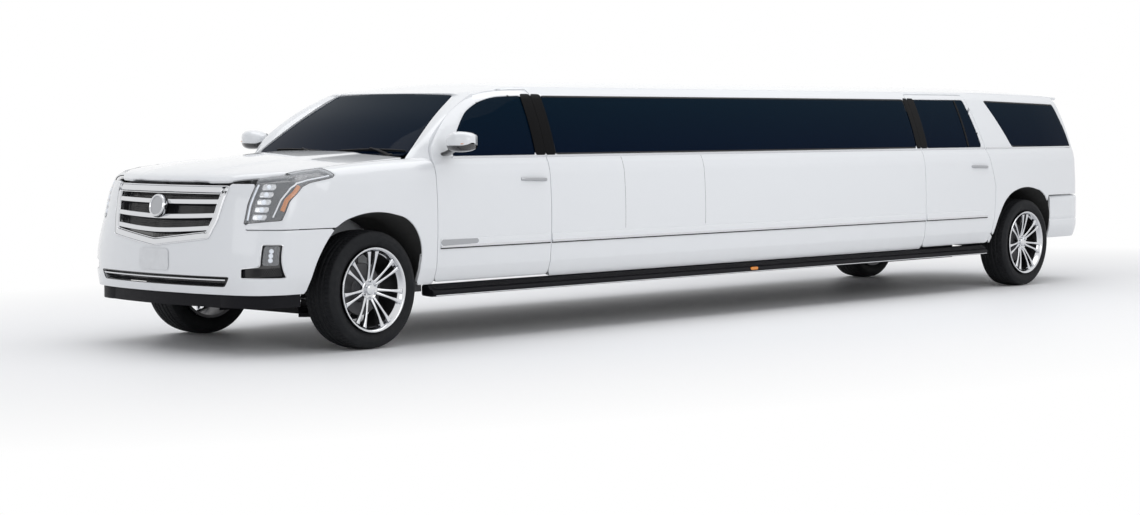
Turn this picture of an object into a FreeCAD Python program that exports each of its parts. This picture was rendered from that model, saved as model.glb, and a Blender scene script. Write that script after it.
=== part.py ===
"""Stretch limousine, construction model in millimetres.

+X points forward, +Y to the car's left, +Z up. The origin lies on the ground, under the middle of the
length. Every sub-part is written as its own STEP file in parts/.
"""
import FreeCAD, Part
import math
import os
from functools import lru_cache
from FreeCAD import Vector

# ---- driving dimensions --------------------------------------------------------------------------
WHEELBASE = 8340
FRONT_OVERHANG = 1092
REAR_OVERHANG = 1256
TRACK = 1745
SEAM = 7                      # shut line between a moving panel and its neighbour
INNER_STEP = 20               # a door's inner box stands this far inside its outer skin
FIT = 0.3                     # gap between faces that belong together but are not welded

FRONT_AXLE_X = (WHEELBASE + FRONT_OVERHANG + REAR_OVERHANG) / 2 - FRONT_OVERHANG
REAR_AXLE_X = FRONT_AXLE_X - WHEELBASE

# wheels
TYRE_R = 407.5
TYRE_W = 285
RIM_R = 279
RIM_LIP_R = 290
HUB_R = 72
SPINDLE_R = 25
SPINDLE_FIT = 0.05
DISC_R = 180
SPOKE_PAIRS = 7
KINGPIN_Y = 790
HUB_INSET = 132               # the hub carrier's seat inside the wheel's middle plane
WHEELHOUSE_R = 488            # clears the tyre's corner at full lock

# side wall: one cross-section carried along the car
SILL_Z = 415
SILL_Y = 972
CREASE_Z = 530
CREASE_Y = 1008
SIDE_Z = 860
SIDE_Y = 1022
SHOULDER_Z = 1190
SHOULDER_Y = 1004
BELT_Z = 1292
BELT_Y = 966
GLASS_MID_Z = 1530
GLASS_MID_Y = 893
HEADER_Z = 1748
HEADER_Y = 798
RAIL_Z = 1808
RAIL_Y = 735
WALL = 128                    # door and side wall thickness below the belt
FRAME = 52                    # thickness of the window frames above it
SKIN = 12                     # outer layer of a door that reaches its shut line

# doors, along the car
FRONT_DOOR_X = 600            # front seam behind the front axle
FRONT_DOOR_L = 1160
REAR_DOOR_X = 1690            # front seam ahead of the rear axle
REAR_DOOR_L = 1030
PILLAR = 95                   # half the black band at a door post

# glass
GLASS = 5
GLASS_SET = 3                 # how far the glass lies inside the outer surface
SILL_TRIM = 18                # frame left between belt line and glass
WINDOW_TOP_Z = 1744

# chassis
RAIL_IN = 360
RAIL_OUT = 440
RAIL_BOTTOM = 400
RAIL_TOP = 520
FLOOR_Z = 540
FLOOR_T = 20


def front(x):
    """X of a place given from the front axle, forward positive."""
    return FRONT_AXLE_X + x


def rear(x):
    """X of a place given from the rear axle, forward positive."""
    return REAR_AXLE_X + x


# ---- shape helpers -------------------------------------------------------------------------------
def outline(points, place):
    """Closed wire. A row is (u, v) for a line to it or (u, v, mu, mv) for an arc to it by way of (mu, mv)."""
    edges = []
    last = place(points[0][0], points[0][1])
    for row in points[1:] + [points[0][:2]]:
        here = place(row[0], row[1])
        if (here - last).Length < 1e-6:
            continue
        if len(row) == 4:
            edges.append(Part.Arc(last, place(row[2], row[3]), here).toShape())
        else:
            edges.append(Part.LineSegment(last, here).toShape())
        last = here
    return Part.Wire(edges)


def side_prism(points, y0, y1):
    """Prism across the car over an (x, z) outline."""
    wire = outline(points, lambda x, z: Vector(x, y0, z))
    return Part.Face(wire).extrude(Vector(0, y1 - y0, 0))


def plan_prism(points, z0, z1):
    """Upright prism over an (x, y) outline."""
    wire = outline(points, lambda x, y: Vector(x, y, z0))
    return Part.Face(wire).extrude(Vector(0, 0, z1 - z0))


def cross_prism(points, x0, x1):
    """Prism along the car over a (y, z) outline."""
    wire = outline(points, lambda y, z: Vector(x0, y, z))
    return Part.Face(wire).extrude(Vector(x1 - x0, 0, 0))


def loft(wires):
    """Solid with straight rulings through closed wires of one topology."""
    return Part.makeLoft(list(wires), True, True)


def box(x, y, z):
    """Box over three (low, high) ranges."""
    corner = Vector(x[0], y[0], z[0])
    return Part.makeBox(x[1] - x[0], y[1] - y[0], z[1] - z[0], corner)


def cylinder_y(radius, x, z, y0, y1):
    """Cylinder along Y."""
    return Part.makeCylinder(radius, y1 - y0, Vector(x, y0, z), Vector(0, 1, 0))


def span(sign, near, far):
    """(low, high) along Y for a stretch given outwards from the middle, on one side."""
    return (near, far) if sign > 0 else (-far, -near)


def fuse(shapes):
    """One shape from touching or overlapping ones, with merged faces."""
    return shapes[0].fuse(shapes[1:]).removeSplitter() if len(shapes) > 1 else shapes[0]


def right(shape):
    """The same piece on the car's right side."""
    return shape.mirror(Vector(0, 0, 0), Vector(0, 1, 0))


def both(shape):
    """A left piece and its right twin as one node of two solids."""
    return Part.makeCompound([shape, right(shape)])


def pipe(points, radius, bend):
    """Round bar along straight runs joined by arcs of one bend radius."""
    edges = []
    start = Vector(*points[0])
    for before, corner, after in zip(points, points[1:], points[2:]):
        corner = Vector(*corner)
        back = (Vector(*before) - corner).normalize()
        ahead = (Vector(*after) - corner).normalize()
        half = (math.pi - back.getAngle(ahead)) / 2
        reach = bend * math.tan(half)
        enter = corner + back * reach
        leave = corner + ahead * reach
        inward = (back + ahead).normalize()
        middle = corner + inward * (bend / math.cos(half) - bend)
        edges.append(Part.LineSegment(start, enter).toShape())
        edges.append(Part.Arc(enter, middle, leave).toShape())
        start = leave
    edges.append(Part.LineSegment(start, Vector(*points[-1])).toShape())
    path = Part.Wire(edges)
    along = edges[0].tangentAt(edges[0].FirstParameter)
    circle = Part.Wire(Part.Circle(Vector(*points[0]), along, radius).toShape())
    return path.makePipeShell([circle], True, True)


# ---- side wall -----------------------------------------------------------------------------------
def wall_wire(x, low_in=0, top_in=0, drop=0, depth=None, skip=0):
    """Cross-section of the left side wall at x.

    low_in and top_in draw the body and the roof edge inwards, drop lowers the roof edge. With depth the
    wall is a layer that starts skip below the outer surface and is depth thick."""
    t_low = WALL if depth is None else skip + depth
    t_top = FRAME if depth is None else skip + depth
    mid_in = (low_in + top_in) / 2

    def at(y, z, inset, down, thick):
        return Vector(x, y - inset - thick, z - down - thick * 0.25 * (z > GLASS_MID_Z))

    def layer(low, high):
        return [
            at(SILL_Y, SILL_Z, low_in, 0, low),
            at(CREASE_Y, CREASE_Z, low_in, 0, low),
            at(SIDE_Y, SIDE_Z, low_in, 0, low),
            at(SHOULDER_Y, SHOULDER_Z, low_in, 0, low),
            at(BELT_Y, BELT_Z, low_in, 0, high),
            at(GLASS_MID_Y, GLASS_MID_Z, mid_in, drop / 2, high),
            at(HEADER_Y, HEADER_Z, top_in, drop, high),
            at(RAIL_Y, RAIL_Z, top_in, drop, high),
        ]

    outer = layer(skip, skip)
    inner = layer(t_low, t_top)
    edges = [Part.LineSegment(outer[0], outer[1]).toShape()]
    edges.append(Part.Arc(outer[1], outer[2], outer[3]).toShape())
    edges.append(Part.LineSegment(outer[3], outer[4]).toShape())
    edges.append(Part.Arc(outer[4], outer[5], outer[6]).toShape())
    edges.append(Part.LineSegment(outer[6], outer[7]).toShape())
    edges.append(Part.LineSegment(outer[7], inner[7]).toShape())
    edges.append(Part.LineSegment(inner[7], inner[6]).toShape())
    edges.append(Part.Arc(inner[6], inner[5], inner[4]).toShape())
    edges.append(Part.LineSegment(inner[4], inner[3]).toShape())
    edges.append(Part.Arc(inner[3], inner[2], inner[1]).toShape())
    edges.append(Part.LineSegment(inner[1], inner[0]).toShape())
    edges.append(Part.LineSegment(inner[0], outer[0]).toShape())
    return Part.Wire(edges)


# columns: x, low_in, top_in, drop
WALL_STATIONS = [
    (front(-480), 3, 42, 60),
    (front(-1150), 2, 22, 40),
    (front(-1600), 0, 4, 4),
    (front(-FRONT_DOOR_X - FRONT_DOOR_L), 0, 0, 0),
    (rear(REAR_DOOR_X - REAR_DOOR_L), 0, 0, 0),
    (rear(-340), 14, 8, 13),
    (rear(-1000), 58, 30, 34),
    (rear(-1190), 84, 40, 44),
]


@lru_cache(maxsize=None)
def wall_layer(depth=None, skip=0):
    """The whole left wall, nose side to tail, as one solid or as a layer of it."""
    pieces = []
    for fore, aft in zip(WALL_STATIONS, WALL_STATIONS[1:]):
        pieces.append(loft([wall_wire(*fore, depth=depth, skip=skip), wall_wire(*aft, depth=depth, skip=skip)]))
    return fuse(pieces)


# ---- door and window outlines, (x, z) ------------------------------------------------------------
DOOR_BOTTOM = 428
DOOR_TOP = RAIL_Z - 23

FRONT_DOOR = [
    (front(-FRONT_DOOR_X), DOOR_BOTTOM),
    (front(-FRONT_DOOR_X - FRONT_DOOR_L), DOOR_BOTTOM),
    (front(-FRONT_DOOR_X - FRONT_DOOR_L), DOOR_TOP),
    (front(-1600), DOOR_TOP - 2),
    (front(-1133), 1727, front(-1360), 1768),
    (front(-612), 1367, front(-862), 1588),
    (front(-FRONT_DOOR_X), 1290),
]
REAR_DOOR = [
    (rear(REAR_DOOR_X), DOOR_BOTTOM),
    (rear(REAR_DOOR_X), DOOR_TOP),
    (rear(760), DOOR_TOP),
    (rear(652), BELT_Z),
    (rear(552), 950),
    (rear(566), 640),
    (rear(634), DOOR_BOTTOM),
]
GLASS_BOTTOM = BELT_Z + SILL_TRIM
FRONT_DOOR_GLASS = [
    (front(-FRONT_DOOR_X - FRONT_DOOR_L + PILLAR), GLASS_BOTTOM),
    (front(-FRONT_DOOR_X - FRONT_DOOR_L + PILLAR), WINDOW_TOP_Z),
    (front(-1480), WINDOW_TOP_Z - 4),
    (front(-1060), 1618, front(-1260), 1704),
    (front(-790), GLASS_BOTTOM, front(-915), 1484),
]
LONG_GLASS = [
    (rear(REAR_DOOR_X + PILLAR - 30), GLASS_BOTTOM),
    (rear(REAR_DOOR_X + PILLAR - 30), WINDOW_TOP_Z),
    (front(-FRONT_DOOR_X - FRONT_DOOR_L - PILLAR - 10), WINDOW_TOP_Z),
    (front(-FRONT_DOOR_X - FRONT_DOOR_L - PILLAR - 10), GLASS_BOTTOM),
]
REAR_DOOR_GLASS = [
    (rear(700), GLASS_BOTTOM),
    (rear(794), WINDOW_TOP_Z),
    (rear(REAR_DOOR_X - PILLAR + 5), WINDOW_TOP_Z),
    (rear(REAR_DOOR_X - PILLAR + 5), GLASS_BOTTOM),
]
QUARTER_GLASS = [
    (rear(-945), 1290),
    (rear(-815), 1708),
    (rear(452), 1738),
    (rear(185), 1308),
]
# a square-shouldered wheel arch: columns are x from the axle, z, and the arc's middle
FRONT_ARCH = [
    (585, 300),
    (565, 416),
    (400, 780, 502, 612),
    (205, 907, 318, 858),
    (-215, 912, -5, 938),
    (-418, 762, -345, 856),
    (-440, 560, -447, 660),
    (-425, 300),
]
REAR_ARCH = [
    (600, 300),
    (588, 416),
    (412, 778, 518, 604),
    (215, 898, 328, 849),
    (-190, 904, 10, 929),
    (-398, 762, -325, 850),
    (-434, 560, -438, 655),
    (-425, 300),
]


def grown(rows, gap):
    """An (x, z) outline as a wire moved out by gap, or in when gap is negative."""
    wire = outline(rows, lambda x, z: Vector(x, 0, z))
    if gap == 0:
        return wire
    moved = wire.makeOffset2D(gap, 2)
    same = (Part.Face(moved).Area > Part.Face(wire).Area) == (gap > 0)
    return moved if same else wire.makeOffset2D(-gap, 2)


def panel_prism(rows, gap=0, y0=400, y1=1150):
    """Prism across the left side over a grown outline."""
    wire = grown(rows, gap)
    wire.translate(Vector(0, y0, 0))
    return Part.Face(wire).extrude(Vector(0, y1 - y0, 0))


def arch(rows, axle):
    """Wheel arch opening over the whole left side."""
    return side_prism([shifted(row, axle) for row in rows], 600, 1100)


def shifted(row, dx):
    """An outline row moved along the car."""
    if len(row) == 4:
        return (row[0] + dx, row[1], row[2] + dx, row[3])
    return (row[0] + dx, row[1])


# ---- tail ----------------------------------------------------------------------------------------
# the rear surface: columns are z and the x of its middle
TAIL = [
    (380, rear(-1172)),
    (1290, rear(-1162)),
    (1900, rear(-975)),
]
TAIL_SWEEP = 225              # how far the surface comes forward 1100 mm off the middle
TAIL_DEPTH = 88               # thickness of tailgate and rear corner


@lru_cache(maxsize=None)
def tail_block(inset):
    """Everything ahead of the rear surface moved forward by inset."""
    wires = []
    for z, x in TAIL:
        rows = [
            (x + inset + TAIL_SWEEP, -1100),
            (x + inset + TAIL_SWEEP, 1100, x + inset, 0),
            (front(FRONT_OVERHANG), 1100),
            (front(FRONT_OVERHANG), -1100),
        ]
        wires.append(outline(rows, lambda u, v, z=z: Vector(u, v, z)))
    return loft(wires)


def envelope_wire(x, low_in, top_in, drop, crown):
    """Outer cross-section of the whole cabin at x, with the roof's crown height."""
    mid_in = (low_in + top_in) / 2
    left = [
        (SILL_Y - low_in, SILL_Z),
        (CREASE_Y - low_in, CREASE_Z),
        (SHOULDER_Y - low_in, SHOULDER_Z, SIDE_Y - low_in, SIDE_Z),
        (BELT_Y - low_in, BELT_Z),
        (HEADER_Y - top_in, HEADER_Z - drop, GLASS_MID_Y - mid_in, GLASS_MID_Z - drop / 2),
        (RAIL_Y - top_in, RAIL_Z - drop),
        (top_in - RAIL_Y, RAIL_Z - drop, 0, crown),
        (top_in - HEADER_Y, HEADER_Z - drop),
        (low_in - BELT_Y, BELT_Z, mid_in - GLASS_MID_Y, GLASS_MID_Z - drop / 2),
        (low_in - SHOULDER_Y, SHOULDER_Z),
        (low_in - CREASE_Y, CREASE_Z, low_in - SIDE_Y, SIDE_Z),
        (low_in - SILL_Y, SILL_Z),
    ]
    return outline(left, lambda y, z: Vector(x, y, z))


# ---- roof ----------------------------------------------------------------------------------------
# columns: x, half width, edge z, crown z
ROOF_STATIONS = [
    (front(-1105), 610, 1748, 1757),
    (front(-1380), 709, 1776, 1810),
    (front(-1600), 731, 1804, 1836),
    (front(-FRONT_DOOR_X - FRONT_DOOR_L), RAIL_Y, RAIL_Z, 1846),
    (front(-2100), RAIL_Y, RAIL_Z, 1858),
    (front(-3200), RAIL_Y, RAIL_Z, 1872),
    (rear(REAR_DOOR_X - REAR_DOOR_L), RAIL_Y, RAIL_Z, 1872),
    (rear(-340), RAIL_Y - 8, RAIL_Z - 13, 1856),
    (rear(-1000), RAIL_Y - 30, RAIL_Z - 34, 1826),
    (rear(-1190), RAIL_Y - 40, RAIL_Z - 44, 1814),
]
ROOF_T = 42


@lru_cache(maxsize=None)
def roof():
    """Roof panel with its rails, ending at the tailgate's front edge."""
    wires = []
    for x, half, edge, crown in ROOF_STATIONS:
        rows = [
            (-half, edge),
            (half, edge, 0, crown),
            (half - FRAME, edge - FRAME * 0.25),
            (FRAME - half, edge - FRAME * 0.25, 0, crown - ROOF_T),
        ]
        wires.append(outline(rows, lambda y, z, x=x: Vector(x, y, z)))
    shell = fuse([loft(pair) for pair in zip(wires, wires[1:])])
    brow = box((front(-1420), front(-900)), (-900, 900), (1600, 2000)).cut(windscreen_block(0))
    return shell.common(tail_block(TAIL_DEPTH + SEAM)).cut(brow).cut(windscreen())


# ---- cabin sides ---------------------------------------------------------------------------------
# windscreen pillar: columns are z, then (x, y) of glass side outer, door side outer, door side inner,
# glass side inner
PILLAR_STATIONS = [
    (1285, -452, 822, -592, 948, -592, 868, -530, 790),
    (1367, -560, 790, -603, 913, -603, 838, -640, 760),
    (1586, -868, 697, -850, 832, -850, 758, -940, 668),
    (1727, -1108, 634, -1122, 770, -1122, 700, -1170, 608),
]
PILLAR_TOP_X = front(-1400)
# y and z of the pillar's end under the roof edge
PILLAR_TOP = [(700, 1770), (726, 1776), (700, 1756), (680, 1756)]


def windscreen_pillar():
    """Left pillar between windscreen and front door."""
    wires = []
    for row in PILLAR_STATIONS:
        corners = [Vector(front(row[i]), row[i + 1], row[0]) for i in (1, 3, 5, 7)]
        wires.append(Part.makePolygon(corners + corners[:1]))
    top = [Vector(PILLAR_TOP_X, y, z) for y, z in PILLAR_TOP]
    wires.append(Part.makePolygon(top + top[:1]))
    pillar = fuse([loft(pair) for pair in zip(wires, wires[1:])])
    door_room = wall_layer(FRAME + 66, -30).common(panel_prism(FRONT_DOOR, SEAM))
    return pillar.cut(door_room).cut(roof()).cut(windscreen()).cut(left_fender())


# ---- nose: the front corners and bumper, rulings between plan outlines ---------------------------
NOSE_SIDE_X = front(545)      # where the nose meets the fender
NOSE_GRILLE_Y = 600
# columns are z, x of the middle, x at NOSE_GRILLE_Y, corner middle (x, y), end of the corner (x, y)
NOSE = [
    (410, 1068, 1010, 905, 862, 700, 950),
    (530, 1090, 1028, 920, 868, 725, 984),
    (640, 1092, 1026, 914, 870, 738, 994),
    (740, 1085, 1014, 897, 870, 725, 997),
    (900, 1052, 975, 852, 868, 700, 997),
    (1060, 1018, 935, 812, 860, 672, 985),
    (1160, 992, 895, 770, 845, 640, 962),
]
FENDER_IN = 22                # the fender's side stands this far inside the doors at the nose
NOSE_T = 58
# side half width at NOSE_SIDE_X for each row of NOSE
NOSE_SIDE = [SILL_Y - FENDER_IN, CREASE_Y - FENDER_IN, 1011 - FENDER_IN, 1018 - FENDER_IN, 1021 - FENDER_IN,
             1013 - FENDER_IN, 984 - FENDER_IN]


@lru_cache(maxsize=None)
def nose_block(inset):
    """Solid nose ahead of NOSE_SIDE_X, drawn in by inset."""
    wires = []
    for row, side in zip(NOSE, NOSE_SIDE):
        z, middle, shoulder, mx, my, ex, ey = row
        rows = [
            (NOSE_SIDE_X - inset, inset - side),
            (front(ex) - inset, inset - ey),
            (front(shoulder) - inset, inset - NOSE_GRILLE_Y, front(mx) - inset, inset - my),
            (front(shoulder) - inset, NOSE_GRILLE_Y - inset, front(middle) - inset, 0),
            (front(ex) - inset, ey - inset, front(mx) - inset, my - inset),
            (NOSE_SIDE_X - inset, side - inset),
        ]
        wires.append(outline(rows, lambda u, v, z=z: Vector(u, v, z)))
    return loft(wires)


# ---- hood and fenders ----------------------------------------------------------------------------
HOOD_T = 30
HOOD_REAR_X = 345             # hood's rear edge behind the front axle, in the middle
# columns: x from the front axle, half width, edge z, crown z
HOOD = [
    (-420, 884, 1304, 1340),
    (0, 875, 1275, 1314),
    (350, 861, 1247, 1286),
    (600, 840, 1222, 1260),
    (830, 812, 1190, 1222),
    (1000, 700, 1152, 1180),
]


def hood_loft(depth):
    """The hood's volume down to depth below its surface."""
    wires = []
    for x, half, edge, crown in HOOD:
        rows = [
            (-half, edge),
            (half, edge, 0, crown),
            (half, edge - depth),
            (-half, edge - depth, 0, crown - depth),
        ]
        wires.append(outline(rows, lambda y, z, x=x: Vector(front(x), y, z)))
    return loft(wires)


def hood_plan(gap, z0, z1):
    """Plan of the hood, grown by gap: nose curve ahead, curved rear edge, straight-lined sides."""
    top = NOSE[-1]
    lip = gap - 4
    rows = [
        (front(-HOOD_REAR_X) - gap, 0),
        (front(-HOOD_REAR_X - 55) - gap, 884 + gap, front(-HOOD_REAR_X - 12) - gap, 440),
        (front(350), 861 + gap),
        (front(640), 836 + gap),
        (front(top[2] - 140) + lip, 762 + gap),
        (front(top[2]) + lip, NOSE_GRILLE_Y),
        (front(top[1]) + lip, 0, front(top[1] - 22) + lip, 310),
        (front(top[2]) + lip, -NOSE_GRILLE_Y, front(top[1] - 22) + lip, -310),
        (front(top[2] - 140) + lip, -762 - gap),
        (front(640), -836 - gap),
        (front(350), -861 - gap),
        (front(-HOOD_REAR_X - 55) - gap, -884 - gap),
        (front(-HOOD_REAR_X) - gap, 0, front(-HOOD_REAR_X - 12) - gap, -440),
    ]
    return plan_prism(rows, z0, z1)


def hood():
    """Hood panel."""
    return hood_loft(HOOD_T).common(hood_plan(0, 1000, 1500))


# columns: x from the front axle, how far the side stands in, crest z, y of the hood seam
FENDER = [
    (-FRONT_DOOR_X + SEAM, 0, 1303, 892),
    (0, 3, 1276, 883),
    (350, 12, 1248, 869),
    (545, FENDER_IN, 1229, 854),
]


def fender_wire(x, side_in, crest, seam_y):
    """Cross-section of the left fender at x."""
    rows = [
        (SILL_Y - side_in, SILL_Z),
        (CREASE_Y - side_in, CREASE_Z),
        (SHOULDER_Y - side_in, SHOULDER_Z - 30, SIDE_Y - side_in, SIDE_Z),
        (BELT_Y - side_in, crest - 26),
        (seam_y, crest),
        (seam_y, crest - 32),
        (900 - side_in, crest - 62),
        (SHOULDER_Y - side_in - 78, SHOULDER_Z - 40),
        (CREASE_Y - side_in - 78, CREASE_Z, SIDE_Y - side_in - 78, SIDE_Z),
        (SILL_Y - side_in - 50, SILL_Z),
    ]
    return outline(rows, lambda y, z: Vector(front(x), y, z))


BUMPER_TOP = 838              # bumper and fender meet here ahead of the front wheel
FASCIA_TOP = 1130
LAMP_INNER_Y = 772            # the fender begins beside the headlamp's inner edge


def left_fender():
    """Fender from the front door to the headlamp."""
    wires = [fender_wire(*row) for row in FENDER]
    whole = fuse([loft(pair) for pair in zip(wires, wires[1:])])
    whole = whole.cut(box((front(300), front(600)), (700, 1100), (0, BUMPER_TOP)))
    whole = fuse([whole, front_corner()]).cut(headlamp_region())
    return whole.cut(arch(FRONT_ARCH, FRONT_AXLE_X)).cut(wheelhouse_space())


@lru_cache(maxsize=None)
def front_corner():
    """Left front corner above the bumper: nose wall and the crest beside the hood."""
    shell = nose_block(0).cut(nose_block(NOSE_T))
    wall = shell.common(box((front(540), front(1100)), (LAMP_INNER_Y, 1100), (BUMPER_TOP, 1170)))
    return fuse([wall, nose_crest()]).cut(hood_plan(SEAM, 1110, 1500))


# columns: x from the front axle, outer y, crest z
CREST = [(545, 954, 1229), (700, 925, 1205), (820, 868, 1182)]
CREST_IN = 776                # the crest's inner limit, beyond the hood


def nose_crest():
    """Rounded top edge of the fender beside the hood, above the nose's last outline."""
    wires = []
    for x, out, z in CREST:
        rows = [(CREST_IN, 1130), (out, 1130), (out - 14, z - 26), (out - 60, z), (CREST_IN, z)]
        wires.append(outline(rows, lambda y, w, x=x: Vector(front(x), y, w)))
    return loft(wires).common(nose_block_tall())


def nose_block_tall():
    """The nose's top outline carried up, to bound what stands on it."""
    z, middle, shoulder, mx, my, ex, ey = NOSE[-1]
    side = NOSE_SIDE[-1]
    rows = [
        (NOSE_SIDE_X - 5, 0),
        (NOSE_SIDE_X - 5, side),
        (front(ex), ey),
        (front(shoulder), NOSE_GRILLE_Y, front(mx), my),
        (front(middle), 0),
    ]
    return plan_prism(rows, 1125, 1300)


def wheelhouse_space():
    """Upright cylinder that the steered wheel sweeps, inside the fender's outer layer."""
    space = Part.makeCylinder(WHEELHOUSE_R, 905, Vector(FRONT_AXLE_X, KINGPIN_Y, 0))
    return space.common(box((front(-520), front(520)), (300, 935), (0, 905)))


# ---- openings of the nose, (y, z) ----------------------------------------------------------------
GRILLE_OUTLINE = [
    (-598, 1128), (598, 1128), (560, 900), (512, 776), (0, 716), (-512, 776), (-560, 900),
]
HEADLAMP = [
    (768, 1165), (752, 1000), (748, 882), (1010, 905), (1010, 1300), (768, 1300),
]
FOG_LAMP = [
    (770, 520), (1010, 520), (1010, 748), (908, 748), (908, 600), (770, 585),
]
INTAKE = [
    (-690, 530), (690, 530), (650, 462), (-650, 462),
]


LAMP_TAIL_X = front(330)      # rear tip of the lamp's blade on the fender's crest


@lru_cache(maxsize=None)
def headlamp_region():
    """Volume of the left headlamp: its front outline, and its outer edge on the flank."""
    ahead = cross_prism(HEADLAMP, LAMP_TAIL_X - 20, front(1100))
    flank = [
        (LAMP_TAIL_X + 395, 860), (LAMP_TAIL_X + 425, 905), (LAMP_TAIL_X + 330, 1120),
        (LAMP_TAIL_X + 20, 1192), (LAMP_TAIL_X, 1212), (LAMP_TAIL_X + 220, 1300),
        (LAMP_TAIL_X + 800, 1240), (LAMP_TAIL_X + 800, 860),
    ]
    return ahead.common(side_prism(flank, 600, 1100))


def headlamp():
    """Left headlamp block, flush with the corner."""
    return front_corner().common(headlamp_region())


def fog_lamp():
    """Left fog lamp, an upright lamp with a mesh foot."""
    shell = nose_block(6).cut(nose_block(NOSE_T - 8))
    return shell.common(cross_prism(FOG_LAMP, front(600), front(1100)))


def front_bumper():
    """Bumper and fascia from the lower edge to the hood."""
    shell = nose_block(0).cut(nose_block(NOSE_T))
    low = shell.common(box((front(300), front(1200)), (-1100, 1100), (410, BUMPER_TOP - 1)))
    between = (1 - LAMP_INNER_Y, LAMP_INNER_Y - 1)
    high = shell.common(box((front(600), front(1200)), between, (BUMPER_TOP - 2, FASCIA_TOP)))
    whole = fuse([low, high])
    whole = whole.cut(cross_prism(GRILLE_OUTLINE, front(600), front(1200)))
    whole = whole.cut(cross_prism(INTAKE, front(600), front(1200)))
    for side in (1, -1):
        lamp = cross_prism([(side * y, z) for y, z in HEADLAMP], front(600), front(1200))
        fog = cross_prism([(side * y, z) for y, z in FOG_LAMP], front(600), front(1200))
        whole = whole.cut(lamp).cut(fog)
    for piece in (arch(FRONT_ARCH, FRONT_AXLE_X), wheelhouse_space()):
        whole = whole.cut(piece).cut(right(piece))
    return whole


VALANCE_BOTTOM = 322
VALANCE_IN = 26               # the valance stands this far inside the bumper


def nose_plan(inset):
    """The bumper's lowest plan outline, drawn in, as an upright prism under it."""
    z, middle, shoulder, mx, my, ex, ey = NOSE[0]
    rows = [
        (front(590), inset - NOSE_SIDE[0]),
        (front(ex) - inset, inset - ey),
        (front(shoulder) - inset, inset - NOSE_GRILLE_Y, front(mx) - inset, inset - my),
        (front(shoulder) - inset, NOSE_GRILLE_Y - inset, front(middle) - inset, 0),
        (front(ex) - inset, ey - inset, front(mx) - inset, my - inset),
        (front(590), NOSE_SIDE[0] - inset),
    ]
    return plan_prism(rows, VALANCE_BOTTOM, z)


def front_valance():
    """Dark valance that carries the bumper's line on down."""
    inner = nose_plan(VALANCE_IN + 18)
    inner.translate(Vector(-1, 0, 0))
    return nose_plan(VALANCE_IN).cut(inner)


# ---- windscreen ----------------------------------------------------------------------------------
# columns are z and the x of the middle, from the front axle
WINDSCREEN = [
    (1290, -372),
    (1345, -452),
    (1560, -772),
    (1752, -1106),
    (1850, -1276),
]
WINDSCREEN_SWEEP = 90         # how far the glass falls back 800 mm off the middle
WINDSCREEN_BASE = 1330
# half widths of the glass at its base and at its top edge
WINDSCREEN_WIDTH = (806, 622)


@lru_cache(maxsize=None)
def windscreen_block(inset):
    """Everything behind the windscreen's outer surface moved back by inset."""
    wires = []
    for z, x in WINDSCREEN:
        rows = [
            (front(-2500), -800),
            (front(x - WINDSCREEN_SWEEP) - inset, -800),
            (front(x - WINDSCREEN_SWEEP) - inset, 800, front(x) - inset, 0),
            (front(-2500), 800),
        ]
        wires.append(outline(rows, lambda u, v, z=z: Vector(u, v, z)))
    return loft(wires)


@lru_cache(maxsize=None)
def windscreen():
    """Laminated windscreen."""
    base, top = WINDSCREEN_WIDTH
    edge = [(-base, WINDSCREEN_BASE), (base, WINDSCREEN_BASE), (top, 1744), (-top, 1744)]
    sheet = windscreen_block(4).cut(windscreen_block(14))
    return sheet.common(cross_prism(edge, front(-1500), front(0)))


# ---- doors ---------------------------------------------------------------------------------------
HANDLE_Z = 1132
HINGE_Y = 1031                # door hinge line at HINGE_Z
HINGE_Z = 1000
HINGE_LEAN_DEG = 3.5          # the hinge line leans inwards at the top


def door_panel(rows, glass_rows):
    """Door: a skin to the shut line on a stepped-in inner box, with its window cut."""
    skin = wall_layer(SKIN, 0).common(panel_prism(rows, 0))
    inner = wall_layer().common(panel_prism(rows, -INNER_STEP))
    return fuse([skin, inner]).cut(panel_prism(glass_rows, 0))


def door_glass(glass_rows):
    """Window glass set just inside the outer surface."""
    return wall_layer(GLASS, GLASS_SET).common(panel_prism(glass_rows, 0))


def handle(x0, x1):
    """Pull handle bar on its two posts, with a plate that fills the grip's back."""
    bar = box((x0, x1), (SIDE_Y + 12, SIDE_Y + 22), (HANDLE_Z - 12, HANDLE_Z + 12))
    reach = (SHOULDER_Y - 4, SIDE_Y + 14)
    posts = [box((x, x + 22), reach, (HANDLE_Z - 9, HANDLE_Z + 9)) for x in (x0 + 6, x1 - 28)]
    return fuse([bar] + posts)


def mirror_housing():
    """Left door mirror: a rounded head on a foot at the window's front corner."""
    head = outline_head()
    foot = loft([
        outline([(front(-700), 1300), (front(-800), 1300), (front(-800), 1352), (front(-730), 1352)],
                lambda x, z: Vector(x, 950, z)),
        outline([(front(-700), 1335), (front(-790), 1335), (front(-790), 1365), (front(-720), 1365)],
                lambda x, z: Vector(x, 1030, z)),
    ])
    return fuse([head, foot]).cut(wall_layer(60, 0))


# y, front and rear from the front axle, bottom and top of the mirror shell
MIRROR_SECTIONS = [
    (1015, 660, 790, 1345, 1468),
    (1120, 640, 800, 1338, 1486),
    (1225, 672, 795, 1346, 1478),
]


def outline_head():
    """Mirror head lofted from its inner end to its outer end."""
    wires = []
    for y, fore, aft, low, high in MIRROR_SECTIONS:
        rows = [
            (front(-fore - 30), low),
            (front(-aft), low + 6),
            (front(-aft), high - 6),
            (front(-fore - 40), high),
            (front(-fore), (low + high) / 2, front(-fore - 10), high - 28),
            (front(-fore - 30), low, front(-fore - 8), low + 26),
        ]
        wires.append(outline(rows, lambda x, z, y=y: Vector(x, y, z)))
    return loft(wires)


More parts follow.
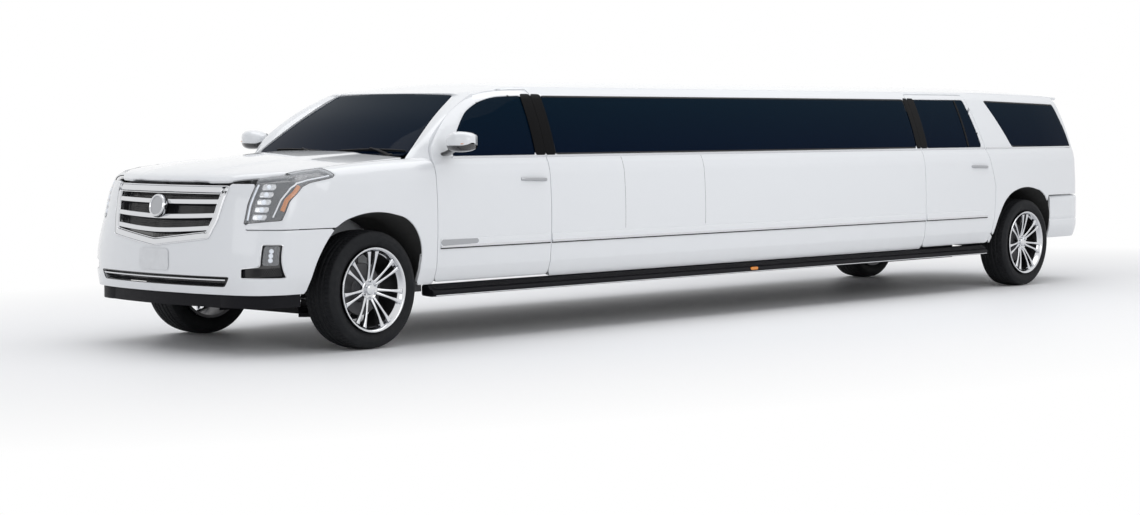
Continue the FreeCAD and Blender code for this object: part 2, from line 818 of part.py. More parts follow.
# ---- cabin side with its posts, quarters and rear corners ----------------------------------------
def rear_post():
    """Thick rear corner post behind the quarter glass, open for the tail lamp."""
    stations = WALL_STATIONS[-3:]
    bays = [loft([wall_wire(*a, depth=300), wall_wire(*b, depth=300)]) for a, b in zip(stations, stations[1:])]
    thick = fuse(bays)
    rim = tail_block(0).cut(tail_block(TAIL_DEPTH))
    return thick.common(rim).cut(cross_prism(grown_gate(SEAM), rear(-1300), rear(-600)))


def left_side():
    """Left cabin side from the front door's rear seam to the tail, with the windscreen pillar apart."""
    wall = wall_layer().common(tail_block(0))
    door_back = front(-FRONT_DOOR_X - FRONT_DOOR_L)
    wall = wall.cut(box((door_back, front(0)), (0, 1200), (0, WINDOW_TOP_Z)))
    wall = wall.cut(box((PILLAR_TOP_X, front(0)), (0, 1200), (0, 2000)))
    wall = wall.cut(roof().common(box((door_back, PILLAR_TOP_X), (0, 1200), (WINDOW_TOP_Z, 2000))))
    wall = wall.cut(panel_prism(FRONT_DOOR, SEAM)).cut(panel_prism(REAR_DOOR, SEAM))
    wall = fuse([wall, rear_post()])
    wall = wall.cut(panel_prism(LONG_GLASS)).cut(panel_prism(QUARTER_GLASS))
    wall = wall.cut(arch(REAR_ARCH, REAR_AXLE_X)).cut(tail_lamp_room()).cut(bumper_room())
    return wall


TAIL_LAMP = [
    (806, 872), (892, 872), (874, 1270), (728, 1676), (690, 1676), (800, 1270),
]
LAMP_DEPTH = 62


def tail_lamp_room():
    """Pocket for the left tail lamp."""
    return cross_prism(TAIL_LAMP, rear(-1300), rear(-700)).cut(tail_block(LAMP_DEPTH))


def tail_lamp():
    """Left tail lamp, standing in the rear corner."""
    return tail_lamp_room().common(tail_block(0))


# ---- tailgate ------------------------------------------------------------------------------------
GATE_BOTTOM = 858
# half width of the gate: columns z, y
GATE_EDGE = [(GATE_BOTTOM, 790), (900, 790), (1270, 784), (1676, 672), (1900, 610)]
GATE_GLASS = [(1322, 700), (1690, 590)]


def grown_gate(gap):
    """(y, z) outline of the tailgate moved out by gap."""
    half = [(y + gap, z) for z, y in GATE_EDGE]
    half[0] = (half[0][0], GATE_BOTTOM - gap)
    return half + [(-y, z) for y, z in reversed(half)]


def tailgate():
    """Lift gate that includes the roof's trailing edge, its window cut."""
    cabin = [envelope_wire(*row, crown) for row, crown in zip(WALL_STATIONS[-3:], (1856, 1826, 1814))]
    cabin = fuse([loft(pair) for pair in zip(cabin, cabin[1:])])
    skin = tail_block(0).cut(tail_block(SKIN)).common(cross_prism(grown_gate(0), rear(-1300), rear(-700)))
    opening = cross_prism(grown_gate(-INNER_STEP), rear(-1300), rear(-700))
    deep = tail_block(0).cut(tail_block(TAIL_DEPTH)).common(opening)
    return fuse([skin, deep]).common(cabin).cut(gate_window())


def gate_window():
    """Prism through the tailgate's window."""
    rows = [(y, z) for z, y in GATE_GLASS] + [(-y, z) for z, y in reversed(GATE_GLASS)]
    return cross_prism(rows, rear(-1300), rear(-700))


def gate_glass():
    """Rear window."""
    return tail_block(GLASS_SET).cut(tail_block(GLASS_SET + GLASS)).common(gate_window())


# ---- rear bumper ---------------------------------------------------------------------------------
BUMPER_TOP_REAR = 838
BUMPER_BOTTOM_REAR = 430
PLATE_Z = 700                 # middle of the rear plate
PLATE_SPACING_Y = 178
PLATE_SPACING_Z = 121
PLATE_HOLE_R = 3.2


def rear_bumper_solid(inset, z0, z1):
    """Plan of the rear bumper, a wrap around the tail."""
    side = 968 - inset
    rows = [
        (rear(-460), -side - 18),
        (rear(-460), side + 18),
        (rear(-940), side + 6),
        (rear(-1120) + inset, 800 - inset / 2, rear(-1060) + inset * 0.7, side - 60),
        (rear(-1120) + inset, inset / 2 - 800, rear(-1256) + inset, 0),
        (rear(-940), -side - 6, rear(-1060) + inset * 0.7, 60 - side),
    ]
    return plan_prism(rows, z0, z1)


def bumper_room():
    """Space the rear bumper takes out of the cabin side."""
    return box((rear(-1300), rear(-396)), (-1200, 1200), (300, BUMPER_TOP_REAR + 2))


# notch in the bumper's lower edge, which clears the towing socket
NOTCH_HALF = 80
NOTCH_TOP = 560


def rear_bumper():
    """Rear bumper with its step on top and its side wings."""
    ring = rear_bumper_solid(0, BUMPER_BOTTOM_REAR, BUMPER_TOP_REAR).cut(
        rear_bumper_solid(70, BUMPER_BOTTOM_REAR - 1, BUMPER_TOP_REAR + 1))
    step = rear_bumper_solid(0, BUMPER_TOP_REAR - 28, BUMPER_TOP_REAR).common(
        box((rear(-1300), rear(-1030)), (-1100, 1100), (0, 1000)))
    ahead = box((rear(-470), rear(-300)), (-905, 905), (300, 800))
    notch = box((rear(-1300), rear(-900)), (-NOTCH_HALF, NOTCH_HALF), (BUMPER_BOTTOM_REAR - 1, NOTCH_TOP))
    whole = fuse([ring, step]).cut(ahead).cut(notch).cut(plate_recess())
    for y in (-PLATE_SPACING_Y / 2, PLATE_SPACING_Y / 2):
        for z in (-PLATE_SPACING_Z / 2, PLATE_SPACING_Z / 2):
            start = Vector(rear(-1237), y, PLATE_Z + z)
            whole = whole.cut(Part.makeCylinder(PLATE_HOLE_R, 26, start, Vector(1, 0, 0)))
    return whole


def plate_recess():
    """Shallow seat for the rear plate, above the towing socket."""
    return box((rear(-1270), rear(-1236)), (-160, 160), (PLATE_Z - 81, PLATE_Z + 81))


# ---- front structure, floor and chassis ----------------------------------------------------------
APRON_Y = 480
FIREWALL_X = -512
COWL_Z = 1250


@lru_cache(maxsize=None)
def front_structure():
    """Firewall, hinge pillars, wheel aprons, radiator support, cowl and bumper beam, welded as one."""
    firewall_x = front(FIREWALL_X)
    pieces = [
        box((firewall_x - 12, firewall_x), (-880, 880), (FLOOR_Z + FLOOR_T, COWL_Z)),
        box((firewall_x, front(-400)), (-862, 862), (COWL_Z - 12, COWL_Z)),
        box((front(640), front(675)), (-610, 610), (480, 1080)),
        box((front(905), front(955)), (-540, 540), (470, 575)),
    ]
    for sign in (1, -1):
        pieces.append(box((firewall_x, front(675)), span(sign, APRON_Y - 12, APRON_Y), (RAIL_TOP, 1110)))
        pieces.append(box((firewall_x, front(540)), span(sign, APRON_Y - 12, 886), (1098, 1110)))
        pieces.append(box((front(-490), front(490)), span(sign, APRON_Y - 12, 905), (908, 918)))
        pieces.append(box((front(-586), firewall_x), span(sign, 790, 880), (SILL_Z + 5, COWL_Z)))
    whole = fuse(pieces).cut(frame_rails()).cut(frame_crossmembers())
    for sign in (1, -1):
        whole = whole.cut(box((front(-145), front(145)), span(sign, 450, 500), (590, 680)))
    return whole


FLOOR_EDGE = SIDE_Y - WALL - 18


def floor_pan():
    """Cabin floor, its sills, the raised load floor and the rear wheel housings."""
    flat = box((rear(700), front(FIREWALL_X - 12)), (-FLOOR_EDGE, FLOOR_EDGE), (FLOOR_Z, FLOOR_Z + FLOOR_T))
    riser = box((rear(680), rear(700)), (-FLOOR_EDGE, FLOOR_EDGE), (FLOOR_Z, 740))
    load = box((rear(-1010), rear(680)), (-645, 645), (720, 740))
    lip = box((rear(-1010), rear(-1000)), (-645, 645), (720, GATE_BOTTOM - 6))
    pieces = [flat, riser, load, lip]
    for sign in (1, -1):
        pieces.append(box((rear(-1010), rear(690)), span(sign, 640, 650), (560, 930)))
        pieces.append(box((rear(-520), rear(690)), span(sign, 640, 872), (930, 940)))
        pieces.append(box((rear(-1010), rear(-520)), span(sign, 640, 850), (720, 740)))
        pieces.append(box((rear(-530), rear(-520)), span(sign, 640, 850), (560, 940)))
        sill = span(sign, FLOOR_EDGE - 90, FLOOR_EDGE)
        pieces.append(box((rear(700), front(FIREWALL_X - 80)), sill, (SILL_Z + 8, FLOOR_Z)))
    whole = fuse(pieces).common(tail_block(TAIL_DEPTH + SEAM + 3))
    for neighbour in (frame_rails(), frame_crossmembers(), towing_crossmember(), front_structure()):
        whole = whole.cut(neighbour)
    for rows in (FRONT_DOOR, REAR_DOOR):
        room = wall_layer(WALL + SEAM).common(panel_prism(rows, SEAM))
        whole = whole.cut(room).cut(right(room))
    wall = wall_layer()
    return whole.cut(wall).cut(right(wall))


# a rail's profile, columns x and bottom z: level ahead, arched over the rear axle
RAIL_LINE = [
    (front(905), RAIL_BOTTOM + 60),
    (front(560), RAIL_BOTTOM + 60),
    (front(420), RAIL_BOTTOM),
    (rear(760), RAIL_BOTTOM),
    (rear(430), 580),
    (rear(-360), 580),
    (rear(-620), 470),
    (rear(-1085), 470),
]
CROSSMEMBERS = 7
HITCH_Z = 500
HITCH_ROOM = 26
HITCH_WALL = 12
HITCH_BORE_R = 8


@lru_cache(maxsize=None)
def frame_rails():
    """Two long rails, arched over the rear axle."""
    height = RAIL_TOP - RAIL_BOTTOM
    upper = [(x, z + height) for x, z in reversed(RAIL_LINE)]
    return both(side_prism(RAIL_LINE + upper, RAIL_IN, RAIL_OUT))


@lru_cache(maxsize=None)
def frame_crossmembers():
    """Crossmembers between the rails."""
    across = (FIT - RAIL_IN, RAIL_IN - FIT)
    first = front(-1400)
    last = rear(900)
    pieces = []
    for i in range(CROSSMEMBERS):
        x = first + (last - first) * i / (CROSSMEMBERS - 1)
        pieces.append(box((x - 45, x + 45), across, (RAIL_TOP - 45, RAIL_TOP)))
    pieces.append(box((front(700), front(780)), across, (480, 540)))
    for x in (rear(300), rear(-300)):
        pieces.append(box((x - 35, x + 35), across, (640, 690)))
    return Part.makeCompound(pieces)


def towing_crossmember():
    """Last crossmember, which carries the towing socket."""
    return box((rear(-1000), rear(-900)), (FIT - RAIL_IN, RAIL_IN - FIT), (480, 560))


def towing_socket():
    """Square tube for a towing bar, with a pin bore through its walls."""
    outer = HITCH_ROOM + HITCH_WALL
    tube = box((rear(-1200), rear(-1000)), (-outer, outer), (HITCH_Z - outer, HITCH_Z + outer))
    room = box((rear(-1201), rear(-999)), (-HITCH_ROOM, HITCH_ROOM), (HITCH_Z - HITCH_ROOM, HITCH_Z + HITCH_ROOM))
    return tube.cut(room).cut(cylinder_y(HITCH_BORE_R, rear(-1150), HITCH_Z, -60, 60))


def running_boards():
    """Dark sill cover and step along each side."""
    x0 = rear(690)
    x1 = front(-FRONT_DOOR_X + 110)
    rows = [(905, 395), (905, 330), (1000, 326), (1030, 338), (1030, 366), (985, 380), (960, 395)]
    return both(cross_prism(rows, x0, x1))


# ---- drive line ----------------------------------------------------------------------------------
SHAFT_Z = 418


def engine_block():
    """The engine as one plain block."""
    return box((front(-330), front(470)), (-290, 290), (500, 1040))


def drive_line():
    """Gearbox and the long propeller shaft with its bearings."""
    gearbox = box((front(-1230), front(-530)), (-190, 190), (290, 525))
    shaft = Part.makeCylinder(44, front(-1220) - rear(150), Vector(rear(150), 0, SHAFT_Z), Vector(1, 0, 0))
    pieces = [gearbox, shaft]
    for i in range(1, 5):
        x = rear(150) + (front(-1220) - rear(150)) * i / 5
        pieces.append(Part.makeCylinder(54, 90, Vector(x, 0, SHAFT_Z), Vector(1, 0, 0)))
    return fuse(pieces)


def rear_axle():
    """Live axle with its final drive, trailing arms, springs and wheel spindles."""
    z = TYRE_R
    inner = TRACK / 2 - HUB_INSET
    tube = cylinder_y(45, REAR_AXLE_X, z, -inner, inner)
    drum = Part.makeCylinder(140, 200, Vector(REAR_AXLE_X - 30, 0, z), Vector(1, 0, 0)).common(
        Part.makeSphere(150, Vector(REAR_AXLE_X, 0, z)))
    pieces = [tube, drum]
    for sign in (1, -1):
        pieces.append(spindle(REAR_AXLE_X, sign))
        arm = [(REAR_AXLE_X - 50, z - 60), (REAR_AXLE_X + 50, z - 60), (rear(620), z - 10), (rear(620), z + 60),
               (REAR_AXLE_X + 40, z + 10), (REAR_AXLE_X - 50, z + 10)]
        pieces.append(side_prism(arm, *span(sign, 490, 540)))
        pieces.append(box((rear(560), rear(620)), span(sign, RAIL_OUT + FIT, 500), (z - 5, z + 55)))
        pieces.append(Part.makeCylinder(58, 580 - z - 30, Vector(REAR_AXLE_X, sign * 400, z + 30)))
    return fuse(pieces)


def spindle(axle_x, sign):
    """Wheel spindle with the hub carrier's face, on one side of the car."""
    inner = TRACK / 2 - HUB_INSET
    pin = cylinder_y(SPINDLE_R - SPINDLE_FIT, axle_x, TYRE_R, *span(sign, inner, TRACK / 2 + 38))
    return fuse([pin, cylinder_y(70, axle_x, TYRE_R, *span(sign, inner - 20, inner + 60))])


def fuel_tank():
    """Fuel tank between frame rail and sill, on the left."""
    return box((rear(900), rear(1900)), (RAIL_OUT + 25, 780), (300, 510))


def exhaust():
    """Exhaust pipe with its silencer on the right, over the axle to the tail."""
    y = -590
    low = RAIL_BOTTOM - 42
    line = [
        (front(-1000), -235, low), (front(-1300), y, low), (rear(700), y, low), (rear(260), y, 630),
        (rear(-230), y, 630), (rear(-480), y, 470), (rear(-1060), y, 440),
    ]
    tube = pipe(line, 32, 90)
    silencer = box((rear(1200), rear(2000)), (y - 110, y + 100), (300, 480))
    return fuse([tube, silencer])


# ---- front suspension and steering ---------------------------------------------------------------
BALL_LOW_Z = TYRE_R - 168
BALL_HIGH_Z = TYRE_R + 205
ARM_GAP = 6                   # between an arm's end and the knuckle it carries
TIE_ROD_X = 140
TIE_ROD_Z = TYRE_R - 78


def front_suspension():
    """Upper and lower arms, spring struts and the subframe that carries them."""
    pieces = [
        box((front(-190), front(190)), (-RAIL_OUT, RAIL_OUT), (225, 265)),
    ]
    for sign in (1, -1):
        low = [(front(-180), sign * 430), (front(180), sign * 430), (front(48), sign * 560),
               (front(40), sign * 820), (front(-40), sign * 820), (front(-48), sign * 560)]
        pieces.append(plan_prism(low, BALL_LOW_Z - 40, BALL_LOW_Z - 12))
        high = [(front(-130), sign * 420), (front(130), sign * 420), (front(38), sign * 580),
                (front(34), sign * 812), (front(-34), sign * 812), (front(-38), sign * 580)]
        pieces.append(plan_prism(high, BALL_HIGH_Z + 12, BALL_HIGH_Z + 36))
        tower = span(sign, RAIL_IN + 2, RAIL_OUT - 2)
        for x in (-150, 60):
            pieces.append(box((front(x), front(x + 40)), tower, (225, RAIL_BOTTOM)))
            pieces.append(box((front(x), front(x + 40)), tower, (RAIL_TOP, BALL_HIGH_Z + 36)))
    return fuse(pieces)


def knuckle(sign):
    """Steering knuckle: upright with spindle and steering arm, turning about the kingpin."""
    height = (BALL_LOW_Z - 12 + ARM_GAP, BALL_HIGH_Z + 12 - ARM_GAP)
    upright = box((front(-34), front(34)), span(sign, KINGPIN_Y - 38, KINGPIN_Y + 20), height)
    across = span(sign, KINGPIN_Y - 62, KINGPIN_Y - 22)
    arm = box((front(0), front(TIE_ROD_X + 22)), across, (TIE_ROD_Z + 22, TIE_ROD_Z + 44))
    return fuse([upright, arm, spindle(FRONT_AXLE_X, sign)])


def steering_rack():
    """Sliding rack with both tie rods; each rod's end eye lies under the knuckle's arm."""
    x = front(TIE_ROD_X)
    end = KINGPIN_Y - 42
    bar = cylinder_y(13, x, TIE_ROD_Z, -end, end)
    eyes = [Part.makeCylinder(20, 28, Vector(x, sign * end, TIE_ROD_Z - 14)) for sign in (1, -1)]
    return fuse([bar] + eyes)


STEERING_WHEEL = (-1120, 405, 1040)   # x from the front axle, y, z
STEERING_WHEEL_R = 190
COLUMN_DEG = 24
COLUMN_PIN_R = 14


def column_axis():
    """Direction from the dashboard to the driver along the steering column."""
    lean = math.radians(COLUMN_DEG)
    return Vector(-math.cos(lean), 0, math.sin(lean))


def steering_wheel():
    """Rim, three spokes, hub and shaft."""
    centre = Vector(front(STEERING_WHEEL[0]), STEERING_WHEEL[1], STEERING_WHEEL[2])
    axis = column_axis()
    rim = Part.makeTorus(STEERING_WHEEL_R - 16, 16, centre, axis)
    hub = Part.makeCylinder(62, 44, centre - axis * 30, axis)
    pin = Part.makeCylinder(COLUMN_PIN_R, 90, centre - axis * 118, axis)
    pieces = [rim, hub, pin]
    across = Vector(0, 1, 0)
    down = axis.cross(across)
    for way in (across, across * -1, down):
        bar = Part.makeCylinder(13, STEERING_WHEEL_R - 20, centre - axis * 4, way)
        pieces.append(bar)
    return fuse(pieces)


# ---- wheels --------------------------------------------------------------------------------------
SPOKE_T = 34
SPOKE_W = 21
SPOKE_SPREAD_DEG = 15


def wheel(axle_x, sign):
    """Alloy wheel with its brake disc, turned about Y, dished spokes in pairs."""
    z = TYRE_R
    half = TYRE_W / 2
    profile = [
        (RIM_LIP_R, half - 12), (RIM_LIP_R, half - 2), (RIM_R - 9, half - 2), (RIM_R - 15, half - 26),
        (RIM_R - 17, 12 - half), (RIM_R - 9, 4 - half), (RIM_LIP_R, 4 - half), (RIM_LIP_R, 14 - half),
        (RIM_R, 18 - half), (RIM_R, half - 16),
    ]
    wire = outline(profile, lambda r, y: Vector(r, y, 0))
    barrel = Part.Face(wire).revolve(Vector(0, 0, 0), Vector(0, 1, 0), 360)
    hub = cylinder_y(HUB_R, 0, 0, 8, 96)
    disc = cylinder_y(DISC_R, 0, 0, -24, 2)
    carrier = cylinder_y(60, 0, 0, -24, 30)
    pieces = [barrel, hub, disc, carrier]
    spoke = [
        (34, 88),
        (RIM_R - 60, 122),
        (RIM_R - 12, 136),
        (RIM_R - 12, 136 - SPOKE_T - 26),
        (RIM_R - 60, 122 - SPOKE_T),
        (34, 88 - SPOKE_T - 20),
    ]
    for i in range(SPOKE_PAIRS):
        for lean in (-1, 1):
            wire = outline(spoke, lambda r, y: Vector(r, y, -SPOKE_W / 2))
            bar = Part.Face(wire).extrude(Vector(0, 0, SPOKE_W))
            bar.rotate(Vector(0, 0, 0), Vector(0, 1, 0), 360 / SPOKE_PAIRS * i + lean * SPOKE_SPREAD_DEG / 2)
            pieces.append(bar)
    body = fuse(pieces)
    body = body.cut(cylinder_y(SPINDLE_R, 0, 0, -60, 50))
    if sign < 0:
        body = right(body)
    body.translate(Vector(axle_x, sign * TRACK / 2, z))
    return body


def tyre(axle_x, sign):
    """Tyre, turned about Y."""
    half = TYRE_W / 2
    bead = RIM_LIP_R + FIT
    shoulder = TYRE_R - 20
    profile = [
        (bead, 22 - half),
        (bead + 30, 4 - half),
        (shoulder, 11 - half, bead + 64, -half),
        (TYRE_R - 3, 33 - half, TYRE_R - 8, 19 - half),
        (TYRE_R - 3, half - 33, TYRE_R, 0),
        (shoulder, half - 11, TYRE_R - 8, half - 19),
        (bead + 30, half - 4, bead + 64, half),
        (bead, half - 22),
    ]
    wire = outline(profile, lambda r, y: Vector(r, y, 0))
    body = Part.Face(wire).revolve(Vector(0, 0, 0), Vector(0, 1, 0), 360)
    body.translate(Vector(axle_x, sign * TRACK / 2, TYRE_R))
    return body


# ---- cabin fittings ------------------------------------------------------------------------------
def dashboard():
    """Dashboard across the cabin with the steering column's bearing."""
    rows = [
        (front(-526), 700), (front(-526), 1180), (front(-700), 1190), (front(-900), 1130), (front(-940), 1050),
        (front(-860), 760),
    ]
    board = side_prism(rows, -868, 868)
    centre = Vector(front(STEERING_WHEEL[0]), STEERING_WHEEL[1], STEERING_WHEEL[2])
    axis = column_axis()
    sleeve = Part.makeCylinder(38, 210, centre - axis * 262, axis)
    bore = Part.makeCylinder(COLUMN_PIN_R + SPINDLE_FIT, 80, centre - axis * 128, axis)
    return fuse([board, sleeve]).cut(bore).cut(front_structure())


def front_seat(y):
    """One front seat: base, cushion, backrest and head restraint."""
    base = box((front(-1830), front(-1380)), (y - 220, y + 220), (FLOOR_Z + FLOOR_T, 720))
    cushion = box((front(-1880), front(-1330)), (y - 260, y + 260), (720, 860))
    back = side_prism([(front(-1760), 840), (front(-1880), 840), (front(-2010), 1400), (front(-1900), 1400)],
                      y - 250, y + 250)
    head = side_prism([(front(-1905), 1395), (front(-2005), 1395), (front(-2030), 1560), (front(-1950), 1560)],
                      y - 130, y + 130)
    return fuse([base, cushion, back, head])


def front_seats():
    """Driver's and passenger's seats."""
    return Part.makeCompound([front_seat(430), front_seat(-430)])


def partition():
    """Divider behind the front seats with its window."""
    rows = [(-870, 560), (870, 560), (870, 1270), (690, 1740), (-690, 1740), (-870, 1270)]
    window = [(-640, 1250), (640, 1250), (560, 1600), (-560, 1600)]
    return cross_prism(rows, front(-2120), front(-2080)).cut(cross_prism(window, front(-2130), front(-2070)))


BENCH_TOP = 860
BENCH_BACK_TOP = 1240


def lounge_bench():
    """Side bench along the right wall and the rear bench across the car."""
    x0 = rear(REAR_DOOR_X + 60)
    x1 = front(-2900)
    rows = [(-866, FLOOR_Z + FLOOR_T), (-866, BENCH_BACK_TOP), (-770, BENCH_BACK_TOP), (-710, BENCH_TOP),
            (-330, BENCH_TOP - 10), (-330, 700), (-400, FLOOR_Z + FLOOR_T)]
    side = cross_prism(rows, x0, x1)
    rows = [(rear(120), 750), (rear(40), 1290), (rear(150), 1290), (rear(260), BENCH_TOP + 60),
            (rear(760), BENCH_TOP + 50), (rear(760), 750)]
    back = side_prism(rows, -630, 630)
    plinth = box((rear(705), rear(755)), (-630, 630), (FLOOR_Z + FLOOR_T, 752))
    return Part.makeCompound([side, fuse([back, plinth])])


def bar_cabinet():
    """Bar along the left wall with its open glass shelf."""
    x0 = rear(REAR_DOOR_X + 600)
    x1 = front(-2700)
    whole = box((x0, x1), (560, 866), (FLOOR_Z + FLOOR_T, 1120))
    return whole.cut(box((x0 + 150, x1 - 150), (559, 760), (800, 1070)))


GRILLE_PROUD = 5              # the chrome frame stands out of the nose by this


def grille():
    """Chrome frame with its bars, over a dark screen."""
    shell = nose_block(-GRILLE_PROUD).cut(nose_block(30))
    ring = cross_prism(GRILLE_OUTLINE, front(600), front(1200))
    inner = [(y * 0.90, 930 + (z - 930) * (0.80 if z > 930 else 0.86)) for y, z in GRILLE_OUTLINE]
    hole = cross_prism(inner, front(600), front(1300))
    frame = shell.common(ring).cut(hole)
    screen = nose_block(32).cut(nose_block(48)).common(ring)
    bars = [frame, screen, nose_block(20).cut(nose_block(34)).common(ring)]
    layer = nose_block(2).cut(nose_block(40)).common(ring)
    for middle, side in ((1030, 1040), (948, 965), (864, 892)):
        rows = [(-590, side - 11), (0, middle - 11), (590, side - 11), (590, side + 11), (0, middle + 11),
                (-590, side + 11)]
        bars.append(layer.common(cross_prism(rows, front(600), front(1200))))
    boss = Part.makeCylinder(78, 60, Vector(front(1000), 0, 968), Vector(1, 0, -0.28))
    bars.append(boss)
    return fuse(bars)


# ---- the car -------------------------------------------------------------------------------------
def build():
    """Every node by name."""
    left_front = fuse([door_panel(FRONT_DOOR, FRONT_DOOR_GLASS), handle(front(-1722), front(-1450))])
    left_rear = fuse([door_panel(REAR_DOOR, REAR_DOOR_GLASS), handle(rear(672), rear(944))])
    nodes = {
        "frame_rails": frame_rails(),
        "frame_crossmembers": frame_crossmembers(),
        "towing_crossmember": towing_crossmember(),
        "towing_socket": towing_socket(),
        "floor_pan": floor_pan(),
        "front_structure": front_structure(),
        "cabin_sides": both(left_side()),
        "windscreen_pillars": both(windscreen_pillar()),
        "roof": roof(),
        "front_fenders": both(left_fender()),
        "front_bumper": front_bumper(),
        "front_valance": front_valance(),
        "grille": grille(),
        "headlamps": both(headlamp()),
        "fog_lamps": both(fog_lamp()),
        "windscreen": windscreen(),
        "side_glass": Part.makeCompound([shape for rows in (LONG_GLASS, QUARTER_GLASS)
                                         for shape in (door_glass(rows), right(door_glass(rows)))]),
        "rear_bumper": rear_bumper(),
        "tail_lamps": both(tail_lamp()),
        "running_boards": running_boards(),
        "engine_block": engine_block(),
        "drive_line": drive_line(),
        "rear_axle": rear_axle(),
        "fuel_tank": fuel_tank(),
        "exhaust": exhaust(),
        "front_suspension": front_suspension(),
        "dashboard": dashboard(),
        "front_seats": front_seats(),
        "partition": partition(),
        "lounge_bench": lounge_bench(),
        "bar_cabinet": bar_cabinet(),
        "hood": hood(),
        "tailgate": tailgate(),
        "tailgate_glass": gate_glass(),
        "steering_rack": steering_rack(),
        "steering_wheel": steering_wheel(),
        "left_front_door": left_front,
        "left_front_window": door_glass(FRONT_DOOR_GLASS),
        "left_mirror": mirror_housing(),
        "left_rear_door": left_rear,
        "left_rear_window": door_glass(REAR_DOOR_GLASS),
        "left_knuckle": knuckle(1),
        "right_knuckle": knuckle(-1),
    }
    for name in ("front_door", "front_window", "mirror", "rear_door", "rear_window"):
        nodes["right_" + name] = right(nodes["left_" + name])
    for end, axle_x in (("front", FRONT_AXLE_X), ("rear", REAR_AXLE_X)):
        for side, sign in (("left", 1), ("right", -1)):
            nodes[f"{side}_{end}_wheel"] = wheel(axle_x, sign)
            nodes[f"{side}_{end}_tyre"] = tyre(axle_x, sign)
    return nodes


def main():
    """Write one STEP file per node."""
    os.makedirs("parts", exist_ok=True)
    for name, shape in build().items():
        shape.exportStep(f"parts/{name}.step")


if __name__ == "__main__":
    main()
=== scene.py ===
"""Stretch limousine: panels, glass, trim, wheels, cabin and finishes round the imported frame."""
import math
import bmesh
import bpy
import numpy as np
from bpy.props import FloatProperty, FloatVectorProperty, IntProperty, PointerProperty
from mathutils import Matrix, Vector


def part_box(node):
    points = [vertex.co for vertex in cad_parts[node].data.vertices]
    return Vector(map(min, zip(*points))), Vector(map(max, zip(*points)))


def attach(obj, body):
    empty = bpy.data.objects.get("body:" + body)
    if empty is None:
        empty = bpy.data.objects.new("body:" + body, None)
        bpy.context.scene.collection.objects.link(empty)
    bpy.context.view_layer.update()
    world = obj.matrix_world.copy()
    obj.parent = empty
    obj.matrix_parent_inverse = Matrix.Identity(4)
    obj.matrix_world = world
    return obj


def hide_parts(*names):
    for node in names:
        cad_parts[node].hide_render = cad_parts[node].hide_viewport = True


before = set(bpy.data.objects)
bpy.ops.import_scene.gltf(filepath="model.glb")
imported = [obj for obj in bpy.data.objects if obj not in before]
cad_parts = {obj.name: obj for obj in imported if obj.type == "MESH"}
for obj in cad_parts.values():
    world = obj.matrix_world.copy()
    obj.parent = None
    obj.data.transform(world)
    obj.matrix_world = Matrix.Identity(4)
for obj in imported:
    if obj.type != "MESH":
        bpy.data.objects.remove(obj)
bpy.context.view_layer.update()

bl_info = {
    "name": "Stretch limousine",
    "version": (1, 0, 0),
    "blender": (4, 5, 0),
    "location": "3D View > Sidebar > Limousine",
    "description": "Builds the limousine's visible pieces round its construction model",
    "category": "Object",
}

MM = 0.001
AHEAD, LEFT, UP = (1, 0, 0), (0, 1, 0), (0, 0, 1)


def middle(node):
    """Middle of a construction node's box, in millimetres."""
    lo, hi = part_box(node)
    return (lo + hi) / 2 / MM


FRONT_AXLE = middle("left_front_tyre")
REAR_AXLE = middle("left_rear_tyre")
TYRE_R = FRONT_AXLE.z
TRACK_Y = FRONT_AXLE.y


def fx(x):
    """X in the car's frame of a place given from the front axle, in millimetres."""
    return FRONT_AXLE.x + x


def rx(x):
    """X in the car's frame of a place given from the rear axle, in millimetres."""
    return REAR_AXLE.x + x


# ---- curves ----------------------------------------------------------------------------------------------
def columns(*parts):
    """Rows of coordinates, each column an array or one number for all rows."""
    return np.stack(np.broadcast_arrays(*parts), -1)


def spline(t, knots, values):
    """Smooth curve through values at knots: cubic pieces whose slope at a knot is the weighted harmonic mean
    of the two chords there, or zero where the chords change sign. Values may differ from point to point."""
    knots = np.asarray(knots, float)
    values = np.broadcast_to(np.asarray(values, float), (len(t), len(knots)))
    h = np.diff(knots)
    chord = np.diff(values, axis=1) / h
    ahead, behind = chord[:, 1:], chord[:, :-1]
    w1, w2 = 2 * h[1:] + h[:-1], h[1:] + 2 * h[:-1]
    safe = np.where(ahead * behind > 0, ahead * behind, 1)
    mean = (w1 + w2) * safe / (w1 * ahead + w2 * behind + (ahead * behind <= 0))
    slope = np.zeros_like(values)
    slope[:, 1:-1] = np.where(ahead * behind > 0, mean, 0)
    slope[:, 0], slope[:, -1] = chord[:, 0], chord[:, -1]
    i = np.clip(np.searchsorted(knots, t) - 1, 0, len(h) - 1)
    row = np.arange(len(t))
    s = (t - knots[i]) / h[i]
    low, high = np.minimum(s, 0), np.maximum(s - 1, 0)
    s = np.clip(s, 0, 1)
    a, b, ma, mb = values[row, i], values[row, i + 1], slope[row, i] * h[i], slope[row, i + 1] * h[i]
    rest = 1 - s
    bend = a * (1 + 2 * s) * rest ** 2 + b * s * s * (3 - 2 * s) + ma * s * rest ** 2 - mb * s * s * rest
    return bend + low * ma + high * mb


def table(t, rows):
    """Every column after the first of a table, as smooth curves of its first column."""
    rows = np.array(sorted(rows), float)
    return [spline(t, rows[:, 0], column) for column in rows[:, 1:].T]


